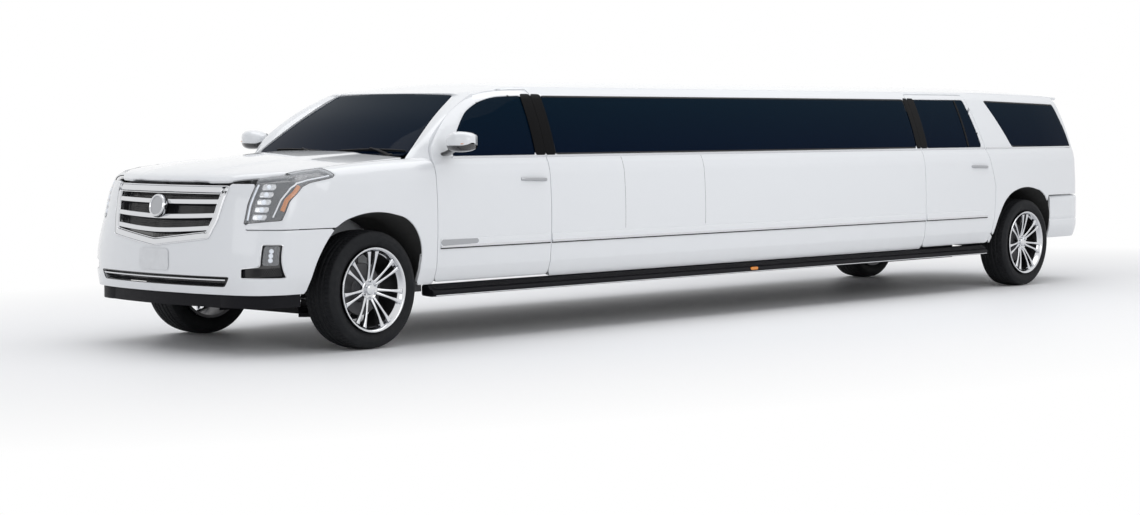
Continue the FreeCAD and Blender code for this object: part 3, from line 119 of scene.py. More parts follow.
def arc(a, via, b, step):
    """Points on the circle through three points, about a step apart, without the last."""
    a, via, b = complex(*a), complex(*via), complex(*b)
    w = (via - a) / (b - a)
    centre = (b - a) * (w - abs(w) ** 2) / (2j * w.imag) + a
    turn = np.angle((b - centre) / (a - centre))
    part = np.angle((via - centre) / (a - centre))
    if np.sign(turn) != np.sign(part) or abs(part) > abs(turn):
        turn -= math.copysign(2 * math.pi, turn)
    n = max(2, int(abs(turn) * abs(a - centre) / step))
    p = centre + (a - centre) * np.exp(1j * turn * np.arange(n) / n)
    return columns(p.real, p.imag)


def outline(rows, step=14.0):
    """Closed outline: a row is (u, v) for a line to it, or (u, v, mu, mv) for an arc by (mu, mv)."""
    pieces = []
    last = rows[0][:2]
    for row in list(rows[1:]) + [rows[0][:2]]:
        if len(row) == 4:
            pieces.append(arc(last, row[2:], row[:2], step))
        else:
            ends = np.array([last, row[:2]], float)
            n = max(1, int(np.hypot(*(ends[1] - ends[0])) / step))
            pieces.append(ends[0] + (ends[1] - ends[0]) * (np.arange(n) / n)[:, None])
        last = row[:2]
    return np.concatenate(pieces)


def rectangle(u0, v0, u1, v1, step=14.0):
    """Outline of an upright rectangle."""
    return outline([(u0, v0), (u1, v0), (u1, v1), (u0, v1)], step)


def rounded(points, radius, passes=3):
    """An outline with its corners eased: each point moves to the mean of its neighbours within the radius."""
    step = np.hypot(*(points - np.roll(points, 1, 0)).T).mean()
    reach = max(1, int(radius / step / 2))
    for _ in range(passes):
        points = np.mean([np.roll(points, k, 0) for k in range(-reach, reach + 1)], axis=0)
    return points


def signed(p, loops):
    """Distance of points to the first loop, negative inside it; later loops are holes."""
    result = None
    for loop in loops:
        a, e = loop, np.roll(loop, -1, 0) - loop
        far = np.empty(len(p))
        odd = np.empty(len(p), bool)
        for s in range(0, len(p), 3000):
            q = p[s:s + 3000, None, :] - a
            t = np.clip((q * e).sum(2) / np.maximum((e ** 2).sum(1), 1e-9), 0, 1)
            far[s:s + 3000] = np.sqrt(((q - t[..., None] * e) ** 2).sum(2).min(1))
            over = (q[..., 1] < 0) != (q[..., 1] < e[:, 1])
            at = q[..., 1] * e[:, 0] / np.where(e[:, 1] == 0, 1, e[:, 1])
            odd[s:s + 3000] = (over & (q[..., 0] < at)).sum(1) % 2 == 1
        d = np.where(odd, -far, far)
        result = d if result is None else np.maximum(result, -d)
    return result


def unit(v):
    """Vectors at length one. A vector of no length stays as it is."""
    return v / np.maximum(np.linalg.norm(v, axis=-1, keepdims=True), 1e-9)


def slope(p, level, h=0.4):
    """Unit direction in which a level function grows, from differences across each point."""
    g = [level(p + [h, 0]) - level(p - [h, 0]), level(p + [0, h]) - level(p - [0, h])]
    return unit(columns(*g))


def trim(us, vs, level):
    """Grid us x vs cut where level passes zero. A node near the edge moves onto it, a grid line that crosses
    the edge ends there, and each cell keeps the polygon of its inner corners and crossings."""
    n, m = len(us), len(vs)
    p = np.stack(np.meshgrid(us, vs, indexing="ij"), -1).reshape(-1, 2)
    cell = np.minimum(np.gradient(us)[:, None], np.gradient(vs)[None, :]).ravel()
    s = level(p)
    near = np.abs(s) < 0.3 * cell
    p[near] -= s[near, None] * slope(p[near], level)
    s[near] = 0
    inside = s < 0
    points = [p[inside]]
    node = np.where(inside, np.cumsum(inside) - 1, -1)

    def crossings(a, b):
        """Ids of the points where grid lines a-b cross the edge."""
        cut = inside[a] != inside[b]
        t = (s[a[cut]] / (s[a[cut]] - s[b[cut]]))[:, None]
        first = sum(map(len, points))
        points.append(p[a[cut]] * (1 - t) + p[b[cut]] * t)
        return np.where(cut, first + np.cumsum(cut) - 1, -1)

    at = np.arange(n * m).reshape(n, m)
    along = crossings(at[:-1].ravel(), at[1:].ravel()).reshape(n - 1, m)
    across = crossings(at[:, :-1].ravel(), at[:, 1:].ravel()).reshape(n, m - 1)
    corners = [node[c] for c in (at[:-1, :-1], at[1:, :-1], at[1:, 1:], at[:-1, 1:])]
    edges = [along[:, :-1], across[1:], along[:, 1:], across[:-1]]
    kind = sum((c >= 0) * 2 ** k for k, c in enumerate(corners))
    faces, rim = [], []
    for mask in range(1, 16):
        ring = []
        for k in range(4):
            here, there = mask >> k & 1, mask >> (k + 1) % 4 & 1
            ring += [(corners[k], True)] * here + [(edges[k], False)] * (here != there)
        cells = kind == mask
        if not cells.any():
            continue
        faces += columns(*[ids[cells] for ids, _ in ring]).tolist()
        for (a, whole_a), (b, whole_b) in zip(ring, ring[1:] + ring[:1]):
            if not whole_a and not whole_b:
                rim.append(columns(a[cells], b[cells]))
    return np.concatenate(points), faces, np.concatenate(rim)


def facing(surface, p):
    """Points of a surface and its outward unit normals, from the cross product of its two slopes. Outward is
    away from a spine inside the car."""
    q = surface(p)
    u, v = [0.5, 0], [0, 0.5]
    n = unit(np.cross(surface(p + u) - surface(p - u), surface(p + v) - surface(p - v)))
    spine = columns(np.clip(q[:, 0], rx(300), fx(-300)), 0, 750)
    outward = ((q - spine) * n).sum(1, keepdims=True)
    each = getattr(surface, "crested", False)
    return q, n * (np.where(outward >= 0, 1, -1) if each else np.sign(outward.sum()))


def shell(surface, us, vs, loops, thick=20.0, roll=3.5, steps=3):
    """Closed panel: a surface trimmed to loops, its edge rolled in by a quarter circle, a flange of the
    panel's thickness, and a parallel back."""
    def level(p):
        return signed(p, loops) + roll

    p, faces, rim = trim(us, vs, level)
    face, n = facing(surface, p)
    edge, index = np.unique(rim, return_inverse=True)
    index = index.reshape(rim.shape)
    out = slope(p[edge], level)
    rings = [edge]
    points = [face]
    total = len(p)
    for k in range(1, steps + 2):
        turn = min(k, steps) / steps * math.pi / 2
        deep = roll * (1 - math.cos(turn)) if k <= steps else thick
        points.append(surface(p[edge] + out * roll * math.sin(turn)) - n[edge] * deep)
        rings.append(total + np.arange(len(edge)))
        total += len(edge)
    points.append(face - n * thick)
    rings.append(total + edge)
    faces += [[total + i for i in reversed(f)] for f in faces]
    for a, b in zip(rings, rings[1:]):
        faces += columns(a[index[:, 1]], a[index[:, 0]], b[index[:, 0]], b[index[:, 1]]).tolist()
    return np.concatenate(points), faces


def quads(n, m, wrap_n=False, wrap_m=False):
    """Faces of an n x m grid of points, closed on itself where asked."""
    i = np.arange(n if wrap_n else n - 1)[:, None]
    j = np.arange(m if wrap_m else m - 1)[None, :]
    i2, j2 = (i + 1) % n, (j + 1) % m
    return columns(i * m + j, i2 * m + j, i2 * m + j2, i * m + j2).reshape(-1, 4).tolist()


def tube(grid, loop=False):
    """Closed mesh of n x m points that go round in m: joined end to end, or closed by flat ends."""
    n, m = grid.shape[:2]
    ends = [] if loop else [list(range(m)), list(range(n * m - 1, n * m - m - 1, -1))]
    return grid.reshape(-1, 3), quads(n, m, loop, True) + ends


def sweep(path, side, up, profile, loop=False):
    """Closed bar: a closed profile carried along a path, at path + a * side + b * up, with flat ends."""
    profile = np.asarray(profile, float)
    if profile.ndim == 2:
        profile = profile[None]
    path = np.asarray(path, float)
    side, up = (np.broadcast_to(np.asarray(v, float), path.shape)[:, None] for v in (side, up))
    return tube(path[:, None] + profile[..., :1] * side + profile[..., 1:] * up, loop)


def revolve(profile, count, centre, closed=True):
    """Profile of (radius, y) turned about an axis along Y through a centre."""
    profile = np.asarray(profile, float)
    turn = np.arange(count) * 2 * math.pi / count
    r, y = profile[:, 0], profile[:, 1]
    p = columns(np.cos(turn)[:, None] * r, np.zeros((count, 1)) + y, np.sin(turn)[:, None] * r)
    return p.reshape(-1, 3) + centre, quads(count, len(r), True, closed)


def ellipse(width, height, count=12, power=1.0):
    """Closed profile of an ellipse; a power below one squares its corners."""
    t = np.arange(count) * 2 * math.pi / count
    c, s = np.cos(t), np.sin(t)
    return columns(np.sign(c) * np.abs(c) ** power * width / 2, np.sign(s) * np.abs(s) ** power * height / 2)


def joined(parts):
    """Several (points, faces) as one."""
    points, faces, first = [], [], 0
    for p, f in parts:
        points.append(p)
        faces += [[i + first for i in face] for face in f]
        first += len(p)
    return np.concatenate(points), faces


def flipped(part):
    """The same mesh, or several as one, on the car's right side."""
    points, faces = joined(part) if isinstance(part, list) else part
    return points * [1, -1, 1], [face[::-1] for face in faces]


def sharpen(mesh, degrees):
    """Smooth shading with a sharp edge wherever two faces meet at more than an angle."""
    edge = np.empty(len(mesh.loops), int)
    mesh.loops.foreach_get("edge_index", edge)
    size = np.empty(len(mesh.polygons), int)
    mesh.polygons.foreach_get("loop_total", size)
    normal = np.empty(len(size) * 3)
    mesh.polygons.foreach_get("normal", normal)
    face = np.repeat(np.arange(len(size)), size)
    order = np.argsort(edge, kind="stable")
    e, n = edge[order], normal.reshape(-1, 3)[face[order]]
    bent = (e[1:] == e[:-1]) & ((n[1:] * n[:-1]).sum(1) < math.cos(math.radians(degrees)))
    sharp = np.zeros(len(mesh.edges), bool)
    sharp[e[1:][bent]] = True
    mesh.shade_smooth()
    mesh.attributes.new("sharp_edge", "BOOLEAN", "EDGE").data.foreach_set("value", sharp)


def piece(name, part, finish, body="body", replaces=(), degrees=34):
    """A mesh object from (points in millimetres, faces) or a list of them, merged, turned outwards, finished
    and riding."""
    points, faces = joined(part) if isinstance(part, list) else part
    mesh = bpy.data.meshes.new(name)
    mesh.from_pydata((np.asarray(points) * MM).tolist(), [], faces)
    work = bmesh.new()
    work.from_mesh(mesh)
    bmesh.ops.remove_doubles(work, verts=work.verts, dist=2e-6)
    bmesh.ops.dissolve_degenerate(work, edges=work.edges, dist=1e-7)
    bmesh.ops.recalc_face_normals(work, faces=work.faces)
    work.to_mesh(mesh)
    work.free()
    sharpen(mesh, degrees)
    mesh.materials.append(finish)
    obj = bpy.data.objects.new(name, mesh)
    bpy.context.scene.collection.objects.link(obj)
    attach(obj, body)
    if replaces:
        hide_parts(*replaces)
    return obj


def pair(name, part, finish, body="body", replaces=(), degrees=34):
    """A left piece and its right twin. {} in the name of a body or node stands for the side."""
    for hand, mesh in (("left", part), ("right", flipped(part))):
        nodes = [node.format(hand) for node in replaces]
        piece(f"{hand}_{name}", mesh, finish, body.format(hand), nodes, degrees)


# ---- the body's surfaces, in millimetres -----------------------------------------------------------------
SILL, CREASE, FLANK, SHOULDER = (415, 972), (530, 1008), (860, 1022), (1190, 1004)
LEDGE, BELT, WAIST, HEADER, RAIL = (1252, 986), (1292, 966), (1530, 893), (1748, 798), (1808, 735)


def bow(z, a, via, b):
    """Half width on the circle through three (z, y) points, on its outer side."""
    (z1, y1), (z2, y2), (z3, y3) = a, via, b
    m = np.array([[z2 - z1, y2 - y1], [z3 - z1, y3 - y1]], float)
    k = np.array([z2 * z2 - z1 * z1 + y2 * y2 - y1 * y1, z3 * z3 - z1 * z1 + y3 * y3 - y1 * y1]) / 2
    zc, yc = np.linalg.solve(m, k)
    return yc + np.sqrt(np.maximum((z1 - zc) ** 2 + (y1 - yc) ** 2 - (z - zc) ** 2, 0))


def section(z):
    """Half width of the car's cross-section at a height, each crease eased by averaging over 6 mm."""
    total = 0
    for shift in (-6, -3, 0, 3, 6):
        h = z + shift
        straight = np.interp(h, *zip(SILL, CREASE, SHOULDER, LEDGE, BELT, HEADER, RAIL))
        steep = RAIL[1] + (RAIL[0] - h) * (HEADER[1] - RAIL[1]) / (RAIL[0] - HEADER[0])
        y = np.where((h > CREASE[0]) & (h < SHOULDER[0]), bow(h, CREASE, FLANK, SHOULDER), straight)
        y = np.where((h > BELT[0]) & (h < HEADER[0]), bow(h, BELT, WAIST, HEADER), y)
        total = total + np.where(h > RAIL[0], steep, y)
    return total / 5


# columns: x, how far the body and the roof edge are drawn in, how far the roof edge is lowered
WALL = [
    (fx(-480), 3, 42, 60), (fx(-1150), 2, 22, 40), (fx(-1600), 0, 4, 4), (fx(-1760), 0, 0, 0),
    (rx(660), 0, 0, 0), (rx(-340), 14, 8, 13), (rx(-1000), 58, 30, 34), (rx(-1190), 84, 40, 44),
]
# rows of the rear face: z, x of its middle
TAIL = [(380, rx(-1172)), (1290, rx(-1162)), (1900, rx(-975))]
TAIL_R = 2801.4               # radius of the rear face in plan


def side_y(x, z):
    """Half width of the side wall at (x, z)."""
    low, top, drop = table(x, WALL)
    share = np.clip((z - BELT[0]) / (HEADER[0] - BELT[0] - drop), 0, 1)
    return section(z + drop * share) - low - (top - low) * share


def tail_x(y, z):
    """X of the rear face at (y, z): a circle in plan on a bent line in height."""
    return np.interp(z, *zip(*TAIL)) + TAIL_R - np.sqrt(TAIL_R ** 2 - y ** 2)


def rear_corner(z):
    """(x, y) where side wall and rear face meet at a height, by repeated substitution."""
    y = np.full(len(z), 900.0)
    for _ in range(6):
        x = tail_x(y, z)
        y = side_y(x, z)
    return x, y


def wrap(p, ease=52):
    """Side wall and rear face as one surface of (u, z). Ahead of the corner u is the way along the car from
    it, behind it the way inwards; the corner is eased by averaging over a window of the path."""
    u, z = p.T
    cx, cy = rear_corner(z)
    total = 0
    for k in np.linspace(-1, 1, 9):
        w = u + k * ease
        ahead, inward = np.maximum(w, 0), np.minimum(w, 0)
        x, y = cx + ahead, cy + inward
        side = side_y(x, z)
        total = total + columns(np.where(w > 0, x, tail_x(y, z)), np.where(w > 0, side, y), z)
    return total / 9


def to_wrap(loop):
    """A side view outline (x, z) in wrap's (u, z)."""
    return columns(loop[:, 0] - rear_corner(loop[:, 1])[0], loop[:, 1])


def on_side(x, z, push=0.0):
    """Points of the side wall at x and z, rows or single numbers, moved outwards by a push."""
    x, z = np.broadcast_arrays(x, z)
    return columns(x, side_y(x, z) + push, z)


def side(p, inset=0.0):
    """Side wall over (x, z), drawn in by inset."""
    return on_side(*p.T, -inset)


def deeper(surface, inset):
    """A surface moved inwards along its normals."""
    def moved(p):
        q, n = facing(surface, p)
        return q - n * inset
    moved.crested = getattr(surface, "crested", False)
    return moved


# rows of the nose: z, x of the middle, x 600 mm off it, corner's middle x and y, corner's end x and y,
# half width
NOSE = [
    (410, 1068, 1010, 905, 862, 700, 950, 950),
    (530, 1090, 1028, 920, 868, 725, 984, 986),
    (640, 1092, 1026, 914, 870, 738, 994, 993),
    (740, 1085, 1014, 897, 870, 725, 997, 998),
    (900, 1052, 975, 852, 868, 700, 997, 999),
    (1060, 1018, 935, 812, 860, 672, 985, 991),
    (1160, 992, 895, 770, 845, 640, 962, 962),
]
NOSE_KNOTS = (-300, 0, 300, 600, 895, 1095, 1250)
NOSE_END = 545                # x from the front axle where the nose's plan ends and the fender's begins
# columns: x from the front axle, how far the fender's side stands in, crest z, y of the hood's seam
FENDER = [(-600, 0, 1303, 892), (0, 3, 1276, 883), (350, 12, 1248, 869), (545, 22, 1229, 854),
          (640, 26, 1212, 840), (760, 60, 1192, 776), (900, 200, 1160, 600)]
ROLL_Z = 1150                 # the fender's side begins to roll over to the hood here
ROLL_WAY = 190                # length of the way over the crest


def nose_plan(q, z):
    """(x, y) at way q along the nose from its middle to the side, and on along the fender, at height z. The
    plan is a smooth curve through seven places whose coordinates vary smoothly with height."""
    way = np.abs(q)
    middle_x, shoulder, mx, my, ex, ey, half = table(z, NOSE)
    near = middle_x - (middle_x - shoulder) / 4
    back = way - NOSE_KNOTS[-1]
    x = spline(way, NOSE_KNOTS, columns(near, middle_x, near, shoulder, mx, ex, NOSE_END))
    y = spline(way, NOSE_KNOTS, columns(-300, 0, 300, 600, my, ey, half))
    side_x = NOSE_END - back
    drawn = table(side_x, FENDER)[0]
    x = np.where(back > 0, side_x, x)
    blend = np.clip(back / 160, 0, 1)
    y = np.where(back > 0, half * (1 - blend) + (section(z) - drawn) * blend, y)
    return fx(x), y * np.sign(q + 1e-9)


def front_body(p):
    """Nose, corner and fender over (q, v): v is the height up to ROLL_Z, and above it the way over the
    crest, a cubic bend from the side up and in to the hood's seam."""
    q, v = p.T
    low = np.minimum(v, ROLL_Z)
    x, y = nose_plan(q, low)
    xa, ya = nose_plan(q + 2, low)
    xb, yb = nose_plan(q - 2, low)
    tx, ty = xa - xb, ya - yb
    size = np.hypot(tx, ty)
    nx, ny = ty / size, -tx / size
    turned = np.sign(nx * 0.3 + ny * np.sign(q)) * np.where(np.abs(q) < 500, np.sign(nx), 1)
    nx, ny = nx * turned, ny * turned
    _, crest, seam = table(x - FRONT_AXLE.x, FENDER)
    wide = np.maximum(np.abs(y) - seam, 4)
    tall = crest - ROLL_Z
    t = np.clip((v - ROLL_Z) / ROLL_WAY, 0, 1)
    past = np.maximum(v - ROLL_Z - ROLL_WAY, 0)
    inward = wide * (3 * 0.10 * t * (1 - t) ** 2 + 3 * 0.30 * t * t * (1 - t) + t ** 3)
    rise = tall * (3 * 0.52 * t * (1 - t) ** 2 + 3 * 0.98 * t * t * (1 - t) + t ** 3)
    inward = inward + past
    return columns(x - nx * inward, y - ny * inward, low + rise + past * 0.05)


front_body.crested = True


def to_nose(loop):
    """A front view outline (y, z) in front_body's (q, z), by reading the plan curve at each height."""
    q = np.linspace(0, 1250, 260)
    result = []
    for y, z in loop:
        ys = nose_plan(q, np.full(len(q), float(z)))[1]
        result.append((math.copysign(np.interp(abs(y), ys, q), y), z))
    return np.array(result)


def flank_to_nose(loop):
    """A side view outline (x from the front axle, z) in front_body's (q, z)."""
    q = np.linspace(600, 2700, 520)
    result = []
    for x, z in loop:
        xs = nose_plan(q, np.full(len(q), min(float(z), ROLL_Z)))[0] - FRONT_AXLE.x
        result.append((np.interp(-x, -xs, q), z))
    return np.array(result)


# rows of the hood: x from the front axle, half width, edge z, crown z
HOOD = [(-420, 884, 1304, 1340), (0, 875, 1275, 1314), (350, 861, 1247, 1286), (600, 840, 1222, 1260),
        (830, 812, 1190, 1222), (1000, 700, 1152, 1180)]
HOOD_FRONT = [(0, 988), (310, 966), (600, 891), (762, 751), (836, 640)]


def hood_surface(p):
    """Hood over (x, y): crowned across, with a raised middle between two soft creases and a nose that turns
    down at the front edge."""
    x, y = p[:, 0] - FRONT_AXLE.x, p[:, 1]
    half, edge, crown = table(x, HOOD)
    z = edge + (crown - edge) * (1 - (y / half) ** 2)
    crease = 470 - 150 * np.clip((x + 400) / 1400, 0, 1)
    dome = 1 / (1 + np.exp((np.abs(y) - crease) / 16))
    z = z + 9 * dome * np.clip((980 - x) / 200, 0, 1)
    lip = np.interp(np.abs(y), *zip(*HOOD_FRONT)) - x
    return columns(p[:, 0], y, z - 26 * np.exp(-np.maximum(lip, 0) / 24))


# rows of the roof: x, half width, edge z, crown z
ROOF = [
    (fx(-1105), 610, 1748, 1757), (fx(-1380), 709, 1776, 1810), (fx(-1600), 731, 1804, 1836),
    (fx(-1760), 735, 1808, 1846), (fx(-2100), 735, 1808, 1858), (fx(-3200), 735, 1808, 1872),
    (rx(660), 735, 1808, 1872), (rx(-340), 727, 1795, 1856), (rx(-1000), 705, 1774, 1826),
    (rx(-1190), 695, 1764, 1814),
]


def roof_surface(p):
    """Roof over (x, y): a crown that falls by the square of the way off the middle."""
    half, edge, crown = table(p[:, 0], ROOF)
    return columns(p[:, 0], p[:, 1], edge + (crown - edge) * (1 - (p[:, 1] / half) ** 2))


SCREEN = [(1290, -372), (1345, -452), (1560, -772), (1752, -1106)]


def screen_surface(p):
    """Windscreen over (y, z): a smooth profile that falls back by the square of the way off the middle."""
    y, z = p.T
    x = spline(z, *zip(*SCREEN)) - 90 * (y / 800) ** 2 - 4
    return columns(fx(x), y, z)


def tail_surface(p):
    """Rear face over (y, z)."""
    return columns(tail_x(p[:, 0], p[:, 1]), p[:, 0], p[:, 1])


def lines(low, high, step, dense=()):
    """Grid lines about a step apart, with closer ones round each crease."""
    base = np.linspace(low, high, max(2, int(round((high - low) / step))) + 1)
    for at in dense:
        base = base[np.abs(base - at) > step * 0.55]
        base = np.concatenate([base, at + np.array([-9, -5, 0, 5, 9.0])])
    base = np.unique(base)
    return base[(base >= low) & (base <= high)]


def merged(*rows):
    """Several rows of grid lines as one."""
    return np.unique(np.concatenate(rows))


def grid_over(loop, margin, step_u, step_v):
    """Grid lines both ways over an outline and a margin round it."""
    low, high = loop.min(0) - margin, loop.max(0) + margin
    return lines(low[0], high[0], step_u), lines(low[1], high[1], step_v)


HEIGHTS = np.concatenate([lines(400, 1704, 26, (CREASE[0], LEDGE[0], BELT[0])), np.arange(1708, 1828, 4.0)])

# ---- outlines --------------------------------------------------------------------------------------------
# side views are in (x, z) and rear views in (y, z), the rest is in its surface's own (u, v)
SEAM = 6
FRONT_DOOR = rounded(outline([
    (fx(-600), 428), (fx(-1760), 428), (fx(-1760), 1785), (fx(-1600), 1783),
    (fx(-1133), 1727, fx(-1360), 1768), (fx(-612), 1367, fx(-862), 1588), (fx(-600), 1290),
]), 22, 2)
REAR_DOOR = rounded(outline([
    (rx(1690), 428), (rx(1690), 1785), (rx(760), 1785), (rx(652), 1292), (rx(552), 950), (rx(566), 640),
    (rx(634), 428),
]), 22, 2)
GLASS_LOW, GLASS_TOP = 1310, 1744
FRONT_WINDOW = rounded(outline([
    (fx(-1665), GLASS_LOW), (fx(-1665), GLASS_TOP), (fx(-1480), GLASS_TOP - 4),
    (fx(-1060), 1618, fx(-1260), 1704), (fx(-790), GLASS_LOW, fx(-915), 1484),
]), 18, 2)
LONG_WINDOW = to_wrap(rounded(outline([
    (rx(1755), GLASS_LOW), (rx(1755), GLASS_TOP), (fx(-1865), GLASS_TOP), (fx(-1865), GLASS_LOW),
]), 12, 2))
REAR_WINDOW = rounded(outline([
    (rx(700), GLASS_LOW), (rx(794), GLASS_TOP), (rx(1600), GLASS_TOP), (rx(1600), GLASS_LOW),
]), 18, 2)
QUARTER_WINDOW = to_wrap(rounded(outline([
    (rx(-945), 1290), (rx(-815), 1708), (rx(452), 1738), (rx(185), 1308),
]), 34, 2))
FRONT_ARCH = [
    (585, 300), (565, 416), (400, 780, 502, 612), (205, 907, 318, 858), (-215, 912, -5, 938),
    (-418, 762, -345, 856), (-440, 560, -447, 660), (-425, 300),
]
REAR_ARCH = [
    (600, 300), (588, 416), (412, 778, 518, 604), (215, 898, 328, 849), (-190, 904, 10, 929),
    (-398, 762, -325, 850), (-434, 560, -438, 655), (-425, 300),
]


def across_tail(loop):
    """A rear view outline (y, z) in wrap's (u, z)."""
    loop = np.asarray(loop, float)
    return columns(loop[:, 0] - rear_corner(loop[:, 1])[1], loop[:, 1])


def grow(loop, gap):
    """An outline moved outwards by a gap along its own normals."""
    ahead = np.roll(loop, -1, 0) - np.roll(loop, 1, 0)
    n = unit(columns(ahead[:, 1], -ahead[:, 0]))
    x, y = loop.T
    return loop + n * gap * np.sign((x * np.roll(y, -1) - y * np.roll(x, -1)).sum())


def placed(rows, axle):
    """An outline given from an axle, in the car's frame."""
    return outline(rows) + [axle, 0]


def along(x):
    """Way along the nose and fender at which its plan is at x from the front axle."""
    return flank_to_nose([(x, ROLL_Z)])[0, 0]


def off(y, z=1000):
    """Way along the nose at which its plan is y off the middle."""
    return to_nose([(y, z)])[0, 0]


# rows of the tailgate's edge: z, y
GATE_EDGE = [(400, 790), (858, 790), (900, 790), (1270, 784), (1676, 672), (1900, 610)]
TAIL_LAMP = across_tail(rounded(outline([
    (806, 872), (892, 872), (874, 1270), (728, 1676), (690, 1676), (800, 1270),
]), 14, 2))
GATE_WINDOW = rounded(outline([(-700, 1322), (700, 1322), (590, 1690), (-590, 1690)]), 30)
BUMPER_TOP, ROLL_TOP = 838, ROLL_Z + ROLL_WAY
GRILLE = to_nose(rounded(outline([
    (-598, 1128), (598, 1128), (560, 900), (512, 776), (0, 716), (-512, 776), (-560, 900),
], 8), 18))
FOG_LAMP = to_nose(rounded(outline([
    (770, 520), (980, 520), (980, 748), (884, 748), (884, 602), (770, 588),
], 6), 16))
INTAKE = rounded(to_nose(outline([(-690, 530), (690, 530), (650, 462), (-650, 462)], 8)), 14)


def side_loop():
    """Outline of the cabin side in wrap's (u, z), ending on the tailgate's seam."""
    back = fx(-1760) - SEAM
    loop = to_wrap(outline([
        (back, 415), (back, 1791), (fx(-1600), 1789), (fx(-1400), 1775), (fx(-1400), 1783), (fx(-1600), 1803),
        (fx(-1760), 1807), (rx(660), 1807), (rx(-340), 1794), (rx(-1000), 1773), (rx(-1400), 1760),
        (rx(-1400), BUMPER_TOP + SEAM), (rx(-392), BUMPER_TOP + SEAM), (rx(-392), 415),
    ]))
    gate = np.interp(loop[:, 1], *zip(*GATE_EDGE)) + SEAM
    loop[:, 0] = np.maximum(loop[:, 0], gate - rear_corner(loop[:, 1])[1])
    return loop[np.hypot(*(loop - np.roll(loop, 1, 0)).T) > 0.5]


def lamp_seam():
    """Seam between headlamp and fender, from the tip of the blade down."""
    return [(along(x), z) for x, z in ((330, 1212), (350, 1192), (600, 1126), (676, 1040), (706, 905))]


def headlamp_loop():
    """Outline of the left headlamp in front_body's (q, v): upright, with a blade over the fender."""
    return outline([
        (off(750, 884), 884), (off(752), 1000), (off(768, 1150), 1150), (off(775, 1150), ROLL_TOP - 3),
        (along(400), ROLL_TOP - 3), *lamp_seam(),
    ], 8)


# ---- finishes --------------------------------------------------------------------------------------------
class Value:
    """A node's output that can be reckoned with: each operator adds a Math node."""

    def __init__(self, finish, out):
        self.finish, self.out = finish, out

    def math(self, operation, *others, clamp=False):
        return self.finish.node("ShaderNodeMath", {"operation": operation, "use_clamp": clamp},
                                dict(enumerate((self,) + others)))

    def __add__(self, other):
        return self.math("ADD", other)

    def __radd__(self, other):
        return self.math("ADD", other)

    def __sub__(self, other):
        return self.math("SUBTRACT", other)

    def __rsub__(self, other):
        return (self * -1).math("ADD", other)

    def __mul__(self, other):
        return self.math("MULTIPLY", other)

    def __rmul__(self, other):
        return self.math("MULTIPLY", other)

    def __truediv__(self, other):
        return self.math("DIVIDE", other)

    def __pow__(self, other):
        return self.math("POWER", other)

    def clamp(self):
        return self.math("ADD", 0, clamp=True)


class Nodes:
    """The node tree of a material or world under way."""

    def __init__(self, owner):
        owner.use_nodes = True
        self.tree = owner.node_tree

    def plug(self, socket, value):
        """Links a Value to a socket, or sets a constant on it."""
        if isinstance(value, Value):
            self.tree.links.new(value.out, socket)
        else:
            socket.default_value = value

    def node(self, kind, settings=None, inputs=None, out=0):
        """Any node: its settings first, then its inputs, and the output that is asked for."""
        node = self.tree.nodes.new(kind)
        for key, value in (settings or {}).items():
            setattr(node, key, value)
        for key, value in (inputs or {}).items():
            self.plug(node.inputs[key], value)
        return Value(self, node.outputs[out])

    def ray(self, kind):
        """One where a ray is of a kind, else zero."""
        return self.node("ShaderNodeLightPath", out=f"Is {kind} Ray")

    def surface(self, share, plain, seen):
        """Output of a shader that goes from one to another by share."""
        output = next(node for node in self.tree.nodes if node.bl_idname.startswith("ShaderNodeOutput"))
        self.plug(output.inputs[0], self.node("ShaderNodeMixShader", {}, {0: share, 1: plain, 2: seen}))


class Finish(Nodes):
    """A material under way. Constants are set on the shader's own sockets and variation is linked to them."""

    def __init__(self, name, colour, rough, metal=0.0, **constants):
        self.material = bpy.data.materials.new(name)
        super().__init__(self.material)
        self.shader = self.tree.nodes["Principled BSDF"]
        self.rough = rough
        self.colour = colour
        self.set("Base Color", (*colour, 1))
        self.set("Roughness", rough)
        self.set("Metallic", metal)
        for socket, value in constants.items():
            self.set(socket.replace("_", " ").title().replace("Ior", "IOR"), value)
        self.place = self.node("ShaderNodeTexCoord", out="Object")

    def set(self, socket, value):
        self.plug(self.shader.inputs[socket], value)

    def noise(self, scale, detail=3.0, stretch=(1, 1, 1)):
        """Noise from 0 to 1 over the piece's own coordinates, in waves a metre, stretched where asked."""
        at = self.node("ShaderNodeMapping", {}, {"Vector": self.place, "Scale": stretch})
        return self.node("ShaderNodeTexNoise", {}, {"Vector": at, "Scale": scale, "Detail": detail})

    def texture(self, kind, scale, settings=None, out=0, at=None, **inputs):
        """Any other texture over the piece's own coordinates."""
        inputs = {"Vector": at or self.place, "Scale": scale, **{k.title(): v for k, v in inputs.items()}}
        return self.node("ShaderNodeTex" + kind, settings, inputs, out)

    def axis(self, name):
        """One coordinate of the piece, in metres."""
        return self.node("ShaderNodeSeparateXYZ", {}, {0: self.place}, name)

    def mix(self, share, a, b):
        """Colour between a and b."""
        return self.node("ShaderNodeMix", {"data_type": "RGBA"}, {0: share, 6: a, 7: b}, 2)

    def tint(self, share, other):
        """Base colour that goes to another colour by share."""
        self.set("Base Color", self.mix(share, (*self.colour, 1), (*other, 1)))
        return self

    def wear(self, scale, spread, detail=3.0):
        """Roughness that varies by spread about its value."""
        self.set("Roughness", (self.noise(scale, detail) - 0.5) * spread + self.rough)
        return self

    def bump(self, height, distance, strength=1.0):
        """Relief of a height pattern, distance in metres."""
        relief = {"Height": height, "Distance": distance, "Strength": strength}
        self.set("Normal", self.node("ShaderNodeBump", {}, relief))
        return self

    def see_through(self, share):
        self.set("Alpha", share)
        return self


